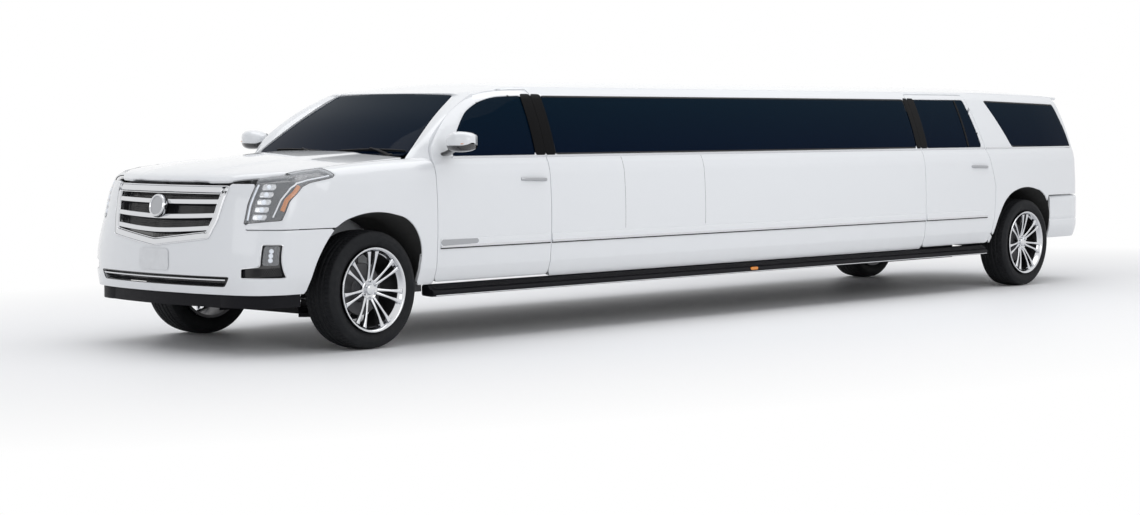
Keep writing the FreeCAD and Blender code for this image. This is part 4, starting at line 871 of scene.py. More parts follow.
def body_finish(name, colour):
    """Clear-coated paint: a soft base with the faintest ripple, and road film low on the body."""
    f = Finish(name, colour, 0.34, coat_weight=1.0, coat_roughness=0.03, coat_ior=1.5)
    film = ((0.62 - f.axis("Z")) * 2.2).clamp() * f.noise(9, 5) * 0.35
    f.tint(film, (0.50, 0.49, 0.47)).wear(3, 0.06)
    return f.bump(f.noise(160, 2), 0.00002, 0.35).material


def glass_finish(name, share=0.93):
    """Dark glass: near black, blue turning to teal towards the roof, and a little see-through."""
    f = Finish(name, (0.002, 0.007, 0.020), 0.03, specular_ior_level=0.016)
    high = ((f.axis("Z") - 1.30) * 2.2).clamp()
    f.tint(high, (0.002, 0.011, 0.022))
    return f.see_through(f.noise(0.7, 1) * 0.03 + (share - 0.015)).material


def metal_finish(name, colour, rough, spread=0.04, brushed=False):
    """Bare bright or dull metal with faint wear, brushed along X where asked."""
    f = Finish(name, colour, rough, 1.0)
    if brushed:
        f.bump(f.noise(260, 3, (0.05, 1, 1)), 0.00006, 0.4)
    else:
        f.bump(f.noise(40, 2), 0.00003, 0.25)
    return f.wear(24, spread).material


def plastic_finish(name, colour, rough, grain=0.0, coat=0.0, shine=0.5):
    """Moulded plastic or rubber: fine grain and small changes of sheen."""
    f = Finish(name, colour, rough, coat_weight=coat, coat_roughness=0.04, specular_ior_level=shine)
    f.tint(f.noise(14, 4) * 0.5, tuple(c * 1.5 + 0.002 for c in colour)).wear(30, 0.12)
    if grain:
        f.bump(f.texture("Voronoi", 900), grain)
    return f.material


def lens_finish(name, colour, share, rough=0.03, ribs=0.0):
    """Clear or coloured lens: see-through plastic, ribbed along Z where asked."""
    f = Finish(name, colour, rough, specular_ior_level=0.45, coat_weight=0.35, coat_roughness=0.01)
    edge = f.node("ShaderNodeLayerWeight", {}, {"Blend": 0.25}, "Facing")
    f.see_through((edge * 0.35 + share).clamp()).wear(12, 0.02)
    if ribs:
        f.bump(f.texture("Wave", ribs, {"bands_direction": "Z"}), 0.0008, 0.5)
    return f.material


def lamp_finish(name, colour, glow):
    """A light guide that is faintly lit."""
    f = Finish(name, colour, 0.18, emission_strength=glow, coat_weight=1.0)
    f.set("Emission Color", f.mix(f.noise(60, 2), (*colour, 1), (*[c * 0.8 for c in colour], 1)))
    return f.bump(f.texture("Wave", 60, {"bands_direction": "Z"}), 0.0005, 0.4).material


def tyre_finish(name):
    """Tyre rubber: matte black, dustier on the tread and in the shoulder."""
    f = Finish(name, (0.007, 0.008, 0.010), 0.66, specular_ior_level=0.16)
    dust = f.noise(22, 5) * f.noise(3, 2)
    f.tint(dust * 0.7, (0.045, 0.045, 0.045)).wear(50, 0.2)
    return f.bump(f.noise(700, 3), 0.0002, 0.5).material


def leather_finish(name, colour):
    """Grained hide with soft creases."""
    f = Finish(name, colour, 0.42, specular_ior_level=0.45, coat_weight=0.15, coat_roughness=0.3)
    cells = f.texture("Voronoi", 420, {"feature": "DISTANCE_TO_EDGE"})
    f.tint(f.noise(7, 4) * 0.5, tuple(c * 1.9 for c in colour)).wear(18, 0.14)
    return f.bump(cells + f.noise(30, 4) * 0.6, 0.0004, 0.5).material


def wood_finish(name):
    """Dark veneer: rings of a stretched wave under a gloss coat."""
    f = Finish(name, (0.055, 0.024, 0.012), 0.3, coat_weight=1.0, coat_roughness=0.04)
    at = f.node("ShaderNodeMapping", {}, {"Vector": f.place, "Scale": (0.6, 3, 3)})
    ring = f.texture("Wave", 4, {"bands_direction": "Z"}, "Fac", at, distortion=7.0, detail=4.0)
    return f.tint(ring * 0.8, (0.16, 0.070, 0.030)).wear(20, 0.06).material


def carpet_finish(name):
    """Cut pile."""
    f = Finish(name, (0.022, 0.022, 0.025), 0.95, sheen_weight=0.4, sheen_roughness=0.4)
    return f.tint(f.noise(220, 3), (0.055, 0.055, 0.060)).bump(f.noise(900, 2), 0.002, 0.8).material


# ---- body panels, glass and trim -------------------------------------------------------------------------
def build_doors(paint, vinyl, chrome):
    """Door skins with their windows cut, inner cards, armrests and pull handles."""
    for where, loop, hole, grips in (
            ("front", FRONT_DOOR, FRONT_WINDOW, (fx(-1722), fx(-1450))),
            ("rear", REAR_DOOR, REAR_WINDOW, (rx(672), rx(944)))):
        first, last = loop[:, 0].min() - 5, loop[:, 0].max() + 5
        door = f"{{}}_{where}_door"
        skin = shell(side, lines(first, last, 24), HEIGHTS, [loop, hole], 40)
        pair(f"{where}_door_skin", skin, paint, door, (door,))
        centre = np.array([loop[:, 0].mean(), 860])
        inner = centre + (loop - centre) * 0.95
        inner[:, 1] = np.minimum(inner[:, 1], 1282)
        card = shell(lambda p: side(p, 41), lines(first, last, 45), lines(420, 1300, 45), [inner], 82, 20)
        pair(f"{where}_door_card", card, vinyl, door)
        x0, x1 = grips
        rest = rounded(rectangle(x0, 890, x1 + 400, 960), 24)
        rest = shell(lambda p: side(p, 118), lines(x0 - 30, x1 + 430, 40), lines(860, 990, 16), [rest], 46,
                     14)
        pair(f"{where}_armrest", rest, vinyl, door)
        t = np.linspace(0, 1, 33)
        x = x0 + (x1 - x0) * t
        lift = 24 * np.sin(np.pi * np.clip(t, 0.004, 0.996)) ** 0.3
        path = columns(x, on_side(x, 1132, lift - 6)[:, 1], 1128 + 8 * t)
        girth = ellipse(11, 24, 16, 0.75)[None] * (1 - 0.2 * (2 * t - 1)[:, None, None] ** 8)
        pair(f"{where}_handle", sweep(path, LEFT, UP, girth), chrome, door)
        cup = rounded(rectangle(x0 + 25, 1106, x1 - 25, 1162, 8), 22)
        cup = shell(lambda p: side(p, 0.4), lines(x0, x1, 12), lines(1095, 1172, 8), [cup], 5, 1.5)
        pair(f"{where}_handle_cup", cup, paint, door)


def build_sides(paint, vinyl):
    """Cabin sides from the front doors round the rear corners, and their linings."""
    loop = side_loop()
    holes = [grow(to_wrap(REAR_DOOR), SEAM), LONG_WINDOW, QUARTER_WINDOW,
             to_wrap(placed(REAR_ARCH, REAR_AXLE.x)), grow(TAIL_LAMP, 3)]
    us = merged(lines(-300, 320, 18), lines(320, loop[:, 0].max() + 8, 30))
    skin = shell(wrap, us, HEIGHTS, [loop] + holes, 46)
    pair("cabin_side_skin", skin, paint, replaces=("cabin_sides",))
    front = [(fx(-1775), 470), (fx(-1775), 1282), (rx(1712), 1282), (rx(1712), 470)]
    rear = [(rx(560), 955), (rx(600), 1275), (rx(-985), 1275), (rx(-985), 955)]
    for name, rows in (("lining", front), ("rear_lining", rear)):
        edge = rounded(outline(rows), 20)
        lined = shell(lambda p: side(p, 48), *grid_over(edge, 10, 60, 50), [edge], 74, 8)
        pair(name, lined, vinyl)


def build_front(paint):
    """Fenders with their arches cut, and the front bumper with its holes for grille, lamps and intake."""
    arch = flank_to_nose(placed(FRONT_ARCH, 0))
    lamp = grow(headlamp_loop(), 3)
    fender = outline([
        (along(-593), 415), (along(-593), ROLL_TOP), (along(400), ROLL_TOP), *lamp_seam(),
        (off(750, 884), 884), (off(750, 846), BUMPER_TOP + SEAM), (along(300), BUMPER_TOP + SEAM),
        (along(0), 415),
    ], 10)
    heights = lines(400, ROLL_TOP + 6, 20, (CREASE[0],))
    ways = lines(720, along(-600), 22)
    skin = shell(front_body, ways, heights, [fender, arch, lamp], 24)
    pair("fender_skin", skin, paint, replaces=("front_fenders",))
    side_end = along(300)
    edge = [(side_end, BUMPER_TOP), (off(772, 838), BUMPER_TOP), (off(748, 1000), 1000),
            (off(764, 1142), 1142)]
    bumper = outline([(-side_end, 408), (side_end, 408), *edge, *((-q, z) for q, z in edge[::-1])], 10)
    flip = np.array([-1, 1])
    holes = [grow(GRILLE, -6), FOG_LAMP, FOG_LAMP * flip, INTAKE, arch, arch * flip, lamp, lamp * flip]
    ways = lines(-side_end - 8, side_end + 8, 17)
    skin = shell(front_body, ways, lines(400, 1156, 15, (CREASE[0],)), [bumper] + holes, 16)
    piece("front_bumper_skin", skin, paint, replaces=("front_bumper",))


def build_hood(paint, black):
    """Hood skin on its own body and the black cowl behind it."""
    loop = outline([
        (fx(-400), -880), (fx(-400), 880, fx(-345), 0), (fx(0), 872), (fx(350), 858), (fx(640), 833),
        (fx(755), 759), (fx(895), 597), (fx(985), 0, fx(962), 310), (fx(895), -597, fx(962), -310),
        (fx(755), -759), (fx(640), -833), (fx(350), -858), (fx(0), -872),
    ])
    xs, ys = lines(fx(-410), fx(995), 18), lines(-890, 890, 18)
    piece("hood_skin", shell(hood_surface, xs, ys, [loop], 18), paint, "hood", ("hood",))

    def cowl(p):
        x, y = p[:, 0] - FRONT_AXLE.x, p[:, 1]
        return columns(p[:, 0], y, 1262 + 22 * (1 - (y / 900) ** 2) - 0.12 * (x + 340))

    tray = outline([(fx(-500), -800), (fx(-430), 0, fx(-455), 480), (fx(-500), 800), (fx(-415), 880),
                    (fx(-352), 0, fx(-368), 450), (fx(-415), -880)])
    piece("cowl_grille", shell(cowl, lines(fx(-520), fx(-340), 14), lines(-890, 890, 30), [tray], 8), black)


def ribbon(a, b, thick, bulge, name, paint, replaces=()):
    """A closed strip between two edge lines, crowned across by a half wave and thick inwards."""
    share = np.linspace(0, 1, 9)[None, :, None]
    across = b - a
    n = unit(np.cross(np.gradient(a, axis=0), across))
    n *= np.sign((n * (a - [fx(-1500), 0, 900])).sum())
    crown = bulge * np.sin(math.pi * share)
    outer = a[:, None] * (1 - share) + b[:, None] * share + n[:, None] * crown
    ring = np.concatenate([outer, (outer - n[:, None] * thick)[:, ::-1]], 1)
    pair(name, tube(ring), paint, replaces=replaces)


def build_pillars(paint):
    """Windscreen pillars between the glass edge and the door's seam, and the rails over the front doors."""
    z = np.linspace(1288, 1754, 34)
    rows = [(1285, -452, 828, -592, 946), (1367, -562, 794, -606, 911), (1586, -868, 700, -851, 831),
            (1727, -1106, 636, -1124, 769), (1754, -1166, 610, -1196, 757)]
    gx, gy, dx, dy = table(z, rows)
    glass_edge = columns(fx(gx), gy, z)
    door_edge = columns(fx(dx), dy, z)
    ribbon(glass_edge, door_edge, 26, 9, "pillar_skin", paint, ("windscreen_pillars",))
    x = np.linspace(-1128, -1452, 26)
    half, edge, _ = table(fx(x), ROOF)
    top = np.interp(x, [-1600, -1360, -1196, -1133], [1789, 1774, 1745, 1733])
    inner = columns(fx(x), half, edge)
    outer = columns(fx(x) - 4, side_y(fx(x), top) - 1, top)
    ribbon(inner, outer, 22, 4, "rail_skin", paint)


def build_roof(paint):
    """Roof skin with a shallow brow over the windscreen."""
    side_edge = [(fx(-1250), 656), (fx(-1380), 706), (fx(-1600), 729), (fx(-1760), 734), (rx(660), 734),
                 (rx(-340), 726), (rx(-1000), 704), (rx(-1120), 640)]
    loop = outline([
        (fx(-1168), -606), (fx(-1118), 0, fx(-1132), -300), (fx(-1168), 606, fx(-1132), 300), *side_edge,
        (rx(-1052), 0, rx(-1068), 320), (rx(-1120), -640, rx(-1068), -320),
        *((x, -y) for x, y in side_edge[-2::-1]),
    ])
    xs = merged(lines(rx(-1150), rx(600), 30), lines(rx(600), fx(-1700), 90), lines(fx(-1700), fx(-1100), 24))
    piece("roof_skin", shell(roof_surface, xs, lines(-742, 742, 30), [loop], 24), paint, replaces=("roof",))


def build_tail(paint):
    """Tailgate skin with its window hole, a crease under the glass and a scoop for the plate."""
    loop = rounded(outline([(-788, 862), (788, 862), (782, 1270), (670, 1676), (640, 1752), (-640, 1752),
                            (-670, 1676), (-782, 1270)]), 24)

    def gate(p):
        q = tail_surface(p)
        y, z = p.T
        crease = 10 * np.exp(-((z - 1262) / 16) ** 2)
        scoop = 16 * np.clip(1 - (y / 420) ** 4, 0, 1) * np.exp(-((z - 1000) / 52) ** 4)
        return q - columns(crease - scoop, 0, 0)

    skin = shell(gate, *grid_over(loop, 6, 20, 12), [loop, GATE_WINDOW], 22)
    piece("tailgate_skin", skin, paint, "tailgate", ("tailgate",))


def rear_plan(w):
    """(x, y) along the rear bumper's plan: w is the way from the middle, round the corner and forward."""
    knots = [-260, 0, 260, 560, 830, 960, 1090, 1230, 1800]
    x = rx(spline(w, knots, [-1244, -1256, -1244, -1196, -1112, -1054, -950, -820, -250]))
    y = spline(w, knots, [-260, 0, 260, 560, 812, 916, 968, 978, 988])
    return x, y


def rear_bumper_surface(p):
    """Rear bumper over (w, z): its plan, drawn in at the foot and over a rounded shoulder, with a crease."""
    w, z = p.T
    way = np.abs(w)
    x, y = rear_plan(way)
    x2, y2 = rear_plan(way + 2)
    n = unit(columns(-(y2 - y), x2 - x))
    n *= -np.sign((n * columns(rx(-700) - x, -y)).sum(1, keepdims=True))
    over = np.clip((z - (BUMPER_TOP - 34)) / 70, 0, 1)
    draw = 46 * np.clip((560 - z) / 150, 0, 1) ** 1.6 + 7 * np.exp(-((z - 610) / 9) ** 2) + 64 * over ** 2
    rise = -36 * over ** 2 * 0.95
    x, y = x - n[:, 0] * draw, y - n[:, 1] * draw
    return columns(x, y * np.sign(w + 1e-9), z + rise)


def build_rear_bumper(paint, black):
    """Rear bumper skin with its seat for the plate and its hole for the towing socket."""
    end = 1590
    loop = rectangle(-end, 432, end, 872)
    plate = rounded(rectangle(-162, 618, 162, 782, 6), 12)
    socket = rectangle(-80, 400, 80, 560, 5)
    skin = shell(rear_bumper_surface, lines(-end - 5, end + 5, 20), lines(426, 878, 10),
                 [loop, plate, socket], 20)
    piece("rear_bumper_skin", skin, paint, replaces=("rear_bumper",))
    pan = shell(deeper(rear_bumper_surface, 26), lines(-190, 190, 20), lines(600, 800, 20),
                [rounded(rectangle(-172, 606, 172, 794), 10)], 6, 2)
    piece("rear_plate_seat", pan, black)


def build_glass(glass, rubber):
    """Side, quarter and rear glass and windscreen as curved panes, with rubber round those on the sides."""
    for where, hole in (("front", FRONT_WINDOW), ("rear", REAR_WINDOW)):
        loop = grow(hole, 9)
        xs = lines(loop[:, 0].min() - 5, loop[:, 0].max() + 5, 40)
        pane = shell(lambda p: side(p, 7), xs, lines(1290, 1765, 24), [loop], 4.5, 1)
        door = f"{{}}_{where}_door"
        pair(f"{where}_pane", pane, glass, door, (f"{{}}_{where}_window",))
        ring = grow(loop, -9)
        channel = shell(deeper(side, -1.2), lines(xs[0], xs[-1], 9), lines(1296, 1760, 9),
                        [grow(ring, 5), grow(ring, -3)], 7, 1.2)
        pair(f"{where}_window_channel", channel, rubber, door)
    for name, hole in (("long", LONG_WINDOW), ("quarter", QUARTER_WINDOW)):
        xs = lines(hole[:, 0].min() - 20, hole[:, 0].max() + 20, 40)
        pane = shell(deeper(wrap, 3), xs, lines(1275, 1765, 24), [grow(hole, -2)], 5, 1)
        nodes = ("side_glass",) if name == "long" else ()
        pair(f"{name}_pane", pane, glass, replaces=nodes)
        first, last = xs[0] + 45, xs[-1] - 45
        us = merged(lines(xs[0], first, 6), lines(first, last, 40), lines(last, xs[-1], 6))
        vs = merged(lines(1275, 1345, 5), lines(1345, 1690, 24), lines(1690, 1765, 5))
        gasket = shell(deeper(wrap, 1.2), us, vs, [grow(hole, 1), grow(hole, -11)], 6, 1.2)
        pair(f"{name}_gasket", gasket, rubber)
    screen = outline([(-802, 1318), (802, 1318, 0, 1296), (618, 1742), (-618, 1742, 0, 1756)])
    pane = shell(screen_surface, lines(-815, 815, 26), lines(1285, 1765, 18), [rounded(screen, 26, 2)], 6, 1)
    piece("windscreen_pane", pane, glass, replaces=("windscreen",))
    gate = grow(GATE_WINDOW, 10)
    pane = shell(deeper(tail_surface, 8), lines(-720, 720, 30), lines(1305, 1710, 20), [gate], 5, 1)
    piece("tailgate_pane", pane, glass, "tailgate", ("tailgate_glass",))


def strip(surface, loop, finish, name, body="body", proud=0.0, thick=6.0, roll=2.0):
    """A thin trim panel over part of a surface, standing proud of it."""
    steps = [24 if wide > 160 else max(4, wide / 14) for wide in np.ptp(loop, axis=0)]
    panel = shell(deeper(surface, -proud), *grid_over(loop, 3, *steps), [loop], thick, roll)
    pair(name, panel, finish, body)


def build_side_trim(chrome, band_black, rubber, amber, white, satin, sizes):
    """Chrome belt and sill mouldings, a dark rubber strip of painted shadow under the sill line, gloss black
    bands between the windows, seams and side markers.
    """
    front, rear = "{}_front_door", "{}_rear_door"
    parts = [("front_door", front, fx(-1752), fx(-792)), ("long", "body", rx(1698), fx(-1768)),
             ("rear_door", rear, rx(662), rx(1682)), ("quarter", "body", rx(-940), rx(642))]
    for name, body, x0, x1 in parts:
        x = np.linspace(x0, x1, max(3, int(abs(x1 - x0) / 60)))
        girth = ellipse(9, sizes.belt_height / MM, 12, 0.8)
        pair(f"{name}_belt", sweep(on_side(x, 1299, 1.5), LEFT, (0, 0.25, 1), girth), chrome, body)
        if name == "quarter":
            continue
        low = rx(690) if name == "rear_door" else x0
        high = fx(-625) if name == "front_door" else x1
        x = np.linspace(low + 4, high - 2, len(x))
        # the last row is painted shadow: a dark rubber strip under the chrome sill line stands in for the
        # shade beneath the moulding
        for z0, size, push, finish, part in ((706, 52, 2, white, "moulding"),
                                             (676, sizes.sill_line / MM, 6, chrome, "sill_line"),
                                             (664, 7, 4, rubber, "sill_seal")):
            bar = sweep(on_side(x, z0, push), LEFT, UP, ellipse(9, size, 14, 0.45))
            pair(f"{name}_{part}", bar, finish, body)
    wedge = outline([(fx(-1000), 690), (fx(-626), 684), (fx(-626), 728), (fx(-1000), 726)], 8)
    strip(side, rounded(wedge, 8), satin, "front_door_plate", front, 8.5, 4, 1.5)
    for name, body, x0, z0, x1, z1 in (("front_door", front, fx(-1762), 1755, fx(-1655), 1755),
                                       ("pillar", "body", fx(-1872), 1754, fx(-1764.3), 1755),
                                       ("rear_pillar", "body", rx(1694.3), 1753, rx(1760), 1752),
                                       ("rear_door", rear, rx(1590), 1751, rx(1692), 1753)):
        band = outline([(x0, 1306), (x0, z0), (x1, z1), (x1, 1306)], 8)
        strip(side, band, band_black, f"{name}_band", body, 1.6, 4, 0.9)
    bar = outline([(rx(905), 1311), (rx(921), 1742), (rx(949), 1742), (rx(933), 1311)], 8)
    strip(side, bar, band_black, "rear_door_divider", rear, -3, 5, 1.2)
    marker = rounded(rectangle(fx(-4215), 348, fx(-4120), 372, 5), 8)

    def board(p):
        return columns(p[:, 0], 1031, p[:, 1])

    strip(board, marker, amber, "side_marker", "body", 2, 8, 2)
    for k, x in enumerate((fx(-1760), rx(1691))):
        path = on_side(x, np.linspace(1312, 1766, 24), -9)
        pair(f"band_seal_{k + 1}", sweep(path, AHEAD, LEFT, ellipse(4, 12, 10, 0.7)), rubber)
    for k, x in enumerate((fx(-2590), fx(-3550))):
        path = on_side(x, np.linspace(745, 1286, 30), -0.6)
        pair(f"panel_seam_{k + 1}", sweep(path, AHEAD, LEFT, ellipse(3.2, 2.6, 8)), rubber)


def build_arches(liner):
    """Wheel house liners from each arch inwards to a circle round the tyre."""
    for name, rows, axle in (("front", FRONT_ARCH, FRONT_AXLE), ("rear", REAR_ARCH, REAR_AXLE)):
        loop = placed(rows, axle.x)
        loop = loop[loop[:, 1] > 418]
        turn = np.arctan2(loop[:, 1] - axle.z, loop[:, 0] - axle.x)
        order = np.argsort(turn)[::2]
        loop, turn = loop[order], turn[order]
        ring = columns(axle.x + 500 * np.cos(turn), np.maximum(axle.z + 492 * np.sin(turn), 330))
        depth = np.array([0, 6, 40, 110, 220, 330, 440])
        share = np.clip(depth / 120, 0, 1)[:, None, None]
        flat = loop[None] * (1 - share) + ring[None] * share
        if name == "front":
            outer = front_body(flank_to_nose(loop - [axle.x, 0]))[:, 1]
        else:
            outer = side_y(loop[:, 0], loop[:, 1])
        y = np.maximum(outer[None] - 9 - depth[:, None], 520)
        face = columns(flat[..., 0], y, flat[..., 1])
        away = unit((face - [axle.x, 0, axle.z]) * [1, 0, 1])
        solid = np.concatenate([face, (face + away * 4)[::-1]], 0)
        n, m = solid.shape[:2]
        part = solid.reshape(-1, 3), quads(n, m, True, False) + [
            [i * m for i in range(n)], [i * m + m - 1 for i in range(n)][::-1]]
        pair(f"{name}_wheel_house", part, liner)


def lathe_disc(profile, count, centre, axis):
    """Profile of (radius, height) turned about any axis through a centre, closed at both poles."""
    points, faces = revolve(profile, count, (0, 0, 0), profile[0][0] > 0)
    axis = unit(np.asarray(axis, float))
    across = unit(np.cross([0, 0, 1.0], axis) if abs(axis[2]) < 0.9 else np.array([1.0, 0, 0]))
    third = np.cross(axis, across)
    points = (points[:, 0:1] * across + points[:, 2:3] * third + points[:, 1:2] * axis) + centre
    return points, faces


def rod(a, b, radius, count=10):
    """A round bar between two points."""
    a, b = np.array(a, float), np.array(b, float)
    way = unit(b - a)
    side_way = unit(np.cross(way, [0, 0, 1.0] if abs(way[2]) < 0.9 else [0, 1.0, 0]))
    return sweep([a, b], side_way, np.cross(side_way, way), ellipse(radius * 2, radius * 2, count))


def along_face(way, heights, inset=0.0):
    """Points on the nose at (q, z), moved in by inset, and the outward normals there."""
    q, n = facing(front_body, columns(way, heights))
    n = n * np.sign((n * (q - [fx(-300), 0, 750])).sum(1, keepdims=True))
    return q - n * inset, n


def face_bar(way, heights, width, depth, inset, power=0.6, count=10):
    """A bar carried along the nose through (q, z), its profile width high and depth proud of the surface."""
    q, n = along_face(way, heights, inset)
    up = unit(np.cross(np.gradient(q, axis=0), n))
    return sweep(q, n, up, ellipse(depth, width, count, power))


def edge_bar(loop, width, depth, inset, power=0.6, count=10):
    """A closed bar round an outline on the nose."""
    q, n = along_face(loop[:, 0], loop[:, 1], inset)
    up = unit(np.cross(np.roll(q, -2, 0) - np.roll(q, 2, 0), n))
    return sweep(q, n, up, ellipse(depth, width, count, power), True)


def span_at(loop, z):
    """Half width of a symmetrical outline at a height."""
    edge = np.roll(loop, -1, 0)
    hit = (loop[:, 1] <= z) != (edge[:, 1] <= z)
    a, b = loop[hit], edge[hit]
    at = a[:, 0] + (b[:, 0] - a[:, 0]) * (z - a[:, 1]) / (b[:, 1] - a[:, 1])
    return np.abs(at).max() if hit.any() else 0.0


def mesh_field(loop, low, high, pitch, inset, thin):
    """A lattice of slanted wires both ways inside an outline between two heights."""
    parts = []
    tall = high - low
    widest = max(span_at(loop, z) for z in np.linspace(low + 1, high - 1, 6))
    for lean in (0.55, -0.55):
        for start in np.arange(-widest - tall, widest + tall, pitch):
            z = np.linspace(low, high, 7)
            q = start + lean * (z - low)
            half = np.array([span_at(loop, h) for h in z])
            keep = np.abs(q) < half - 2
            if keep.sum() >= 2:
                parts.append(face_bar(q[keep], z[keep], thin, thin, inset, 1, 4))
    return parts


def build_grille(chrome, mesh_finish, black, satin, sizes):
    """Grille: dark tray, wire lattice, chrome frame with a stepped lip, three bars that dip, a round boss."""
    tray = shell(deeper(front_body, 52), *grid_over(GRILLE, 0, 40, 30), [grow(GRILLE, 2)], 6, 2)
    piece("grille_tray", tray, black, replaces=("grille",))
    inner = grow(GRILLE, -50)
    wires = mesh_field(inner, inner[:, 1].min() + 4, inner[:, 1].max() - 4, sizes.mesh_pitch / MM, 24, 3.0)
    piece("grille_mesh", wires, mesh_finish, degrees=70)
    flange = shell(deeper(front_body, -3), *grid_over(GRILLE, 5, 11, 9),
                   [grow(GRILLE, -5), grow(GRILLE, -46)], 30, 8, 4)
    piece("grille_frame", flange, chrome)
    rim = [edge_bar(rounded(grow(GRILLE, -3), 10, 1), 8, 9, -2),
           edge_bar(rounded(grow(GRILLE, -52), 10, 1), 7, 12, 10)]
    piece("grille_frame_lips", rim, chrome)
    bars = []
    top, foot = inner[:, 1].max(), inner[:, 1].min()
    for share, dip in ((0.74, 6), (0.48, 16), (0.24, 24)):
        z0 = foot + (top - foot) * share
        half = span_at(inner, z0) + 6
        q = np.linspace(-half, half, 61)
        z = z0 - dip * (1 - np.abs(q / half) ** 1.6)
        bars.append(face_bar(q, z, sizes.bar_height / MM, 18, 12, 0.55, 12))
        bars.append(face_bar(q, z + 15, 4, 8, 20, 0.8, 8))
    piece("grille_bars", bars, chrome)
    q, n = along_face([0], 984, -6)
    boss = [(0, 26), (40, 25), (62, 20), (64, 14), (66, 2), (66, -16), (0, -16)]
    ring = [(60, 16), (64, 24), (70, 27), (76, 24), (80, 14), (80, -6), (60, -6)]
    piece("grille_boss", lathe_disc(boss, 48, q[0], n[0]), satin)
    piece("grille_boss_ring", lathe_disc(ring, 48, q[0], n[0]), chrome)


def build_headlamps(chrome, black, glow, clear, amber, white):
    """Headlamps: a dark bezel, stacked cells, light strips that run into the blade, and a clear cover."""
    loop = headlamp_loop()
    grid = grid_over(loop, 4, 15, 12)
    pair("headlamp_bezel", shell(deeper(front_body, 30), *grid, [grow(loop, -3)], 5, 1.5), black,
         replaces=("headlamps",))
    cover = shell(deeper(front_body, -1.0), *grid, [grow(rounded(loop, 10, 1), -1)], 4, 2)
    pair("headlamp_cover", cover, clear)
    cells = []
    for k in range(5):
        z = 926 + 50 * k
        q0 = 800 + 8 * k
        cell = [(q0, z - 20), (q0 + 104, z - 20), (q0 + 108, z + 20), (q0 + 4, z + 20)]
        cells.append(shell(deeper(front_body, 12), lines(q0 - 3, q0 + 112, 7), lines(z - 23, z + 23, 5),
                           [rounded(outline(cell, 5), 9)], 16, 6, 4))
    pair("headlamp_cells", cells, chrome, degrees=50)
    lenses = []
    for k in range(5):
        z = 926 + 50 * k
        q, n = along_face([855 + 8 * k], z, 10)
        lenses.append(lathe_disc([(0, 9), (9, 8), (16, 3), (17, -2), (0, -2)], 24, q[0], n[0]))
    pair("headlamp_lenses", lenses, glow, degrees=60)
    z = np.linspace(905, 1140, 24)
    inner = np.interp(z, [884, 1000, 1150], [off(750, 884), off(752), off(768, 1150)]) + 16
    pair("headlamp_inner_strip", face_bar(inner, z, 13, 10, 10, 0.7), glow)
    z = np.linspace(925, 1150, 30)
    outer = np.interp(z, [905, 1040, 1120, 1160], [along(706), along(676), along(640), along(590)]) - 62
    blade_q = np.linspace(outer[-1], along(372), 30)[1:]
    blade_z = np.interp(blade_q, [outer[-1], along(372)], [1150, 1214])
    pair("headlamp_outer_strip", face_bar(np.r_[outer, blade_q], np.r_[z, blade_z], 11, 9, 9, 0.7), white)
    z = np.linspace(966, 1132, 26)
    edge = np.interp(z, [905, 1040, 1126], [along(706), along(676), along(612)]) - 24
    pair("headlamp_marker", face_bar(edge, z, 30, 12, 10, 0.6), amber)
    pair("headlamp_gasket", edge_bar(grow(rounded(loop, 10, 1), 0.5), 4, 6, 4, 1, 6), black)


def build_fogs(chrome, black, mesh_finish, glow, clear):
    """Fog lamps: an upright lamp in a dark well with a meshed foot, and the slot of the lower intake."""
    well = shell(deeper(front_body, 34), *grid_over(FOG_LAMP, 4, 9, 9), [grow(FOG_LAMP, 5)], 4, 1.5)
    pair("fog_well", well, black, replaces=("fog_lamps",))
    pair("fog_edge", edge_bar(grow(FOG_LAMP, -2.5), 7, 8, 3, 0.7), chrome)
    foot = mesh_field_side(FOG_LAMP, 532, 588, 13, 20, 2.6)
    pair("fog_mesh", foot, mesh_finish)
    tall = to_nose(rounded(rectangle(896, 608, 970, 738, 6), 12))
    lens = shell(deeper(front_body, 8), *grid_over(tall, 3, 7, 9), [tall], 7, 4, 4)
    pair("fog_cover", lens, clear)
    lights = []
    for z in (642, 674, 706):
        q, n = along_face([off(934, z)], z, 24)
        lights.append(lathe_disc([(0, 8), (7, 7), (13, 3), (16, -3), (0, -3)], 24, q[0], n[0]))
    pair("fog_lights", lights, glow, degrees=60)
    lo, hi = INTAKE.min(0), INTAKE.max(0)
    tray = shell(deeper(front_body, 44), lines(lo[0], hi[0], 30), lines(lo[1] - 4, hi[1] + 4, 10),
                 [grow(INTAKE, 6)], 4, 1)
    piece("intake_tray", tray, black)
    piece("intake_mesh", mesh_field(INTAKE, lo[1] + 3, hi[1] - 3, 14, 24, 2.6), mesh_finish)
    q = np.linspace(lo[0] + 26, hi[0] - 26, 71)
    piece("intake_bar", face_bar(q, 508, 11, 12, 6, 0.6), chrome)
    piece("intake_edge", edge_bar(grow(INTAKE, -2), 5, 7, 3, 0.7), black)


def mesh_field_side(loop, low, high, pitch, inset, thin):
    """The lattice of mesh_field for an outline on one side only."""
    parts = []
    lo, hi = loop[:, 0].min(), loop[:, 0].max()
    for lean in (0.6, -0.6):
        for start in np.arange(lo - 60, hi + 60, pitch):
            z = np.linspace(low, high, 6)
            p = columns(start + lean * (z - low), z)
            keep = signed(p, [loop]) < -3
            if keep.sum() >= 2:
                parts.append(face_bar(p[keep, 0], p[keep, 1], thin, thin, inset, 1, 4))
    return parts


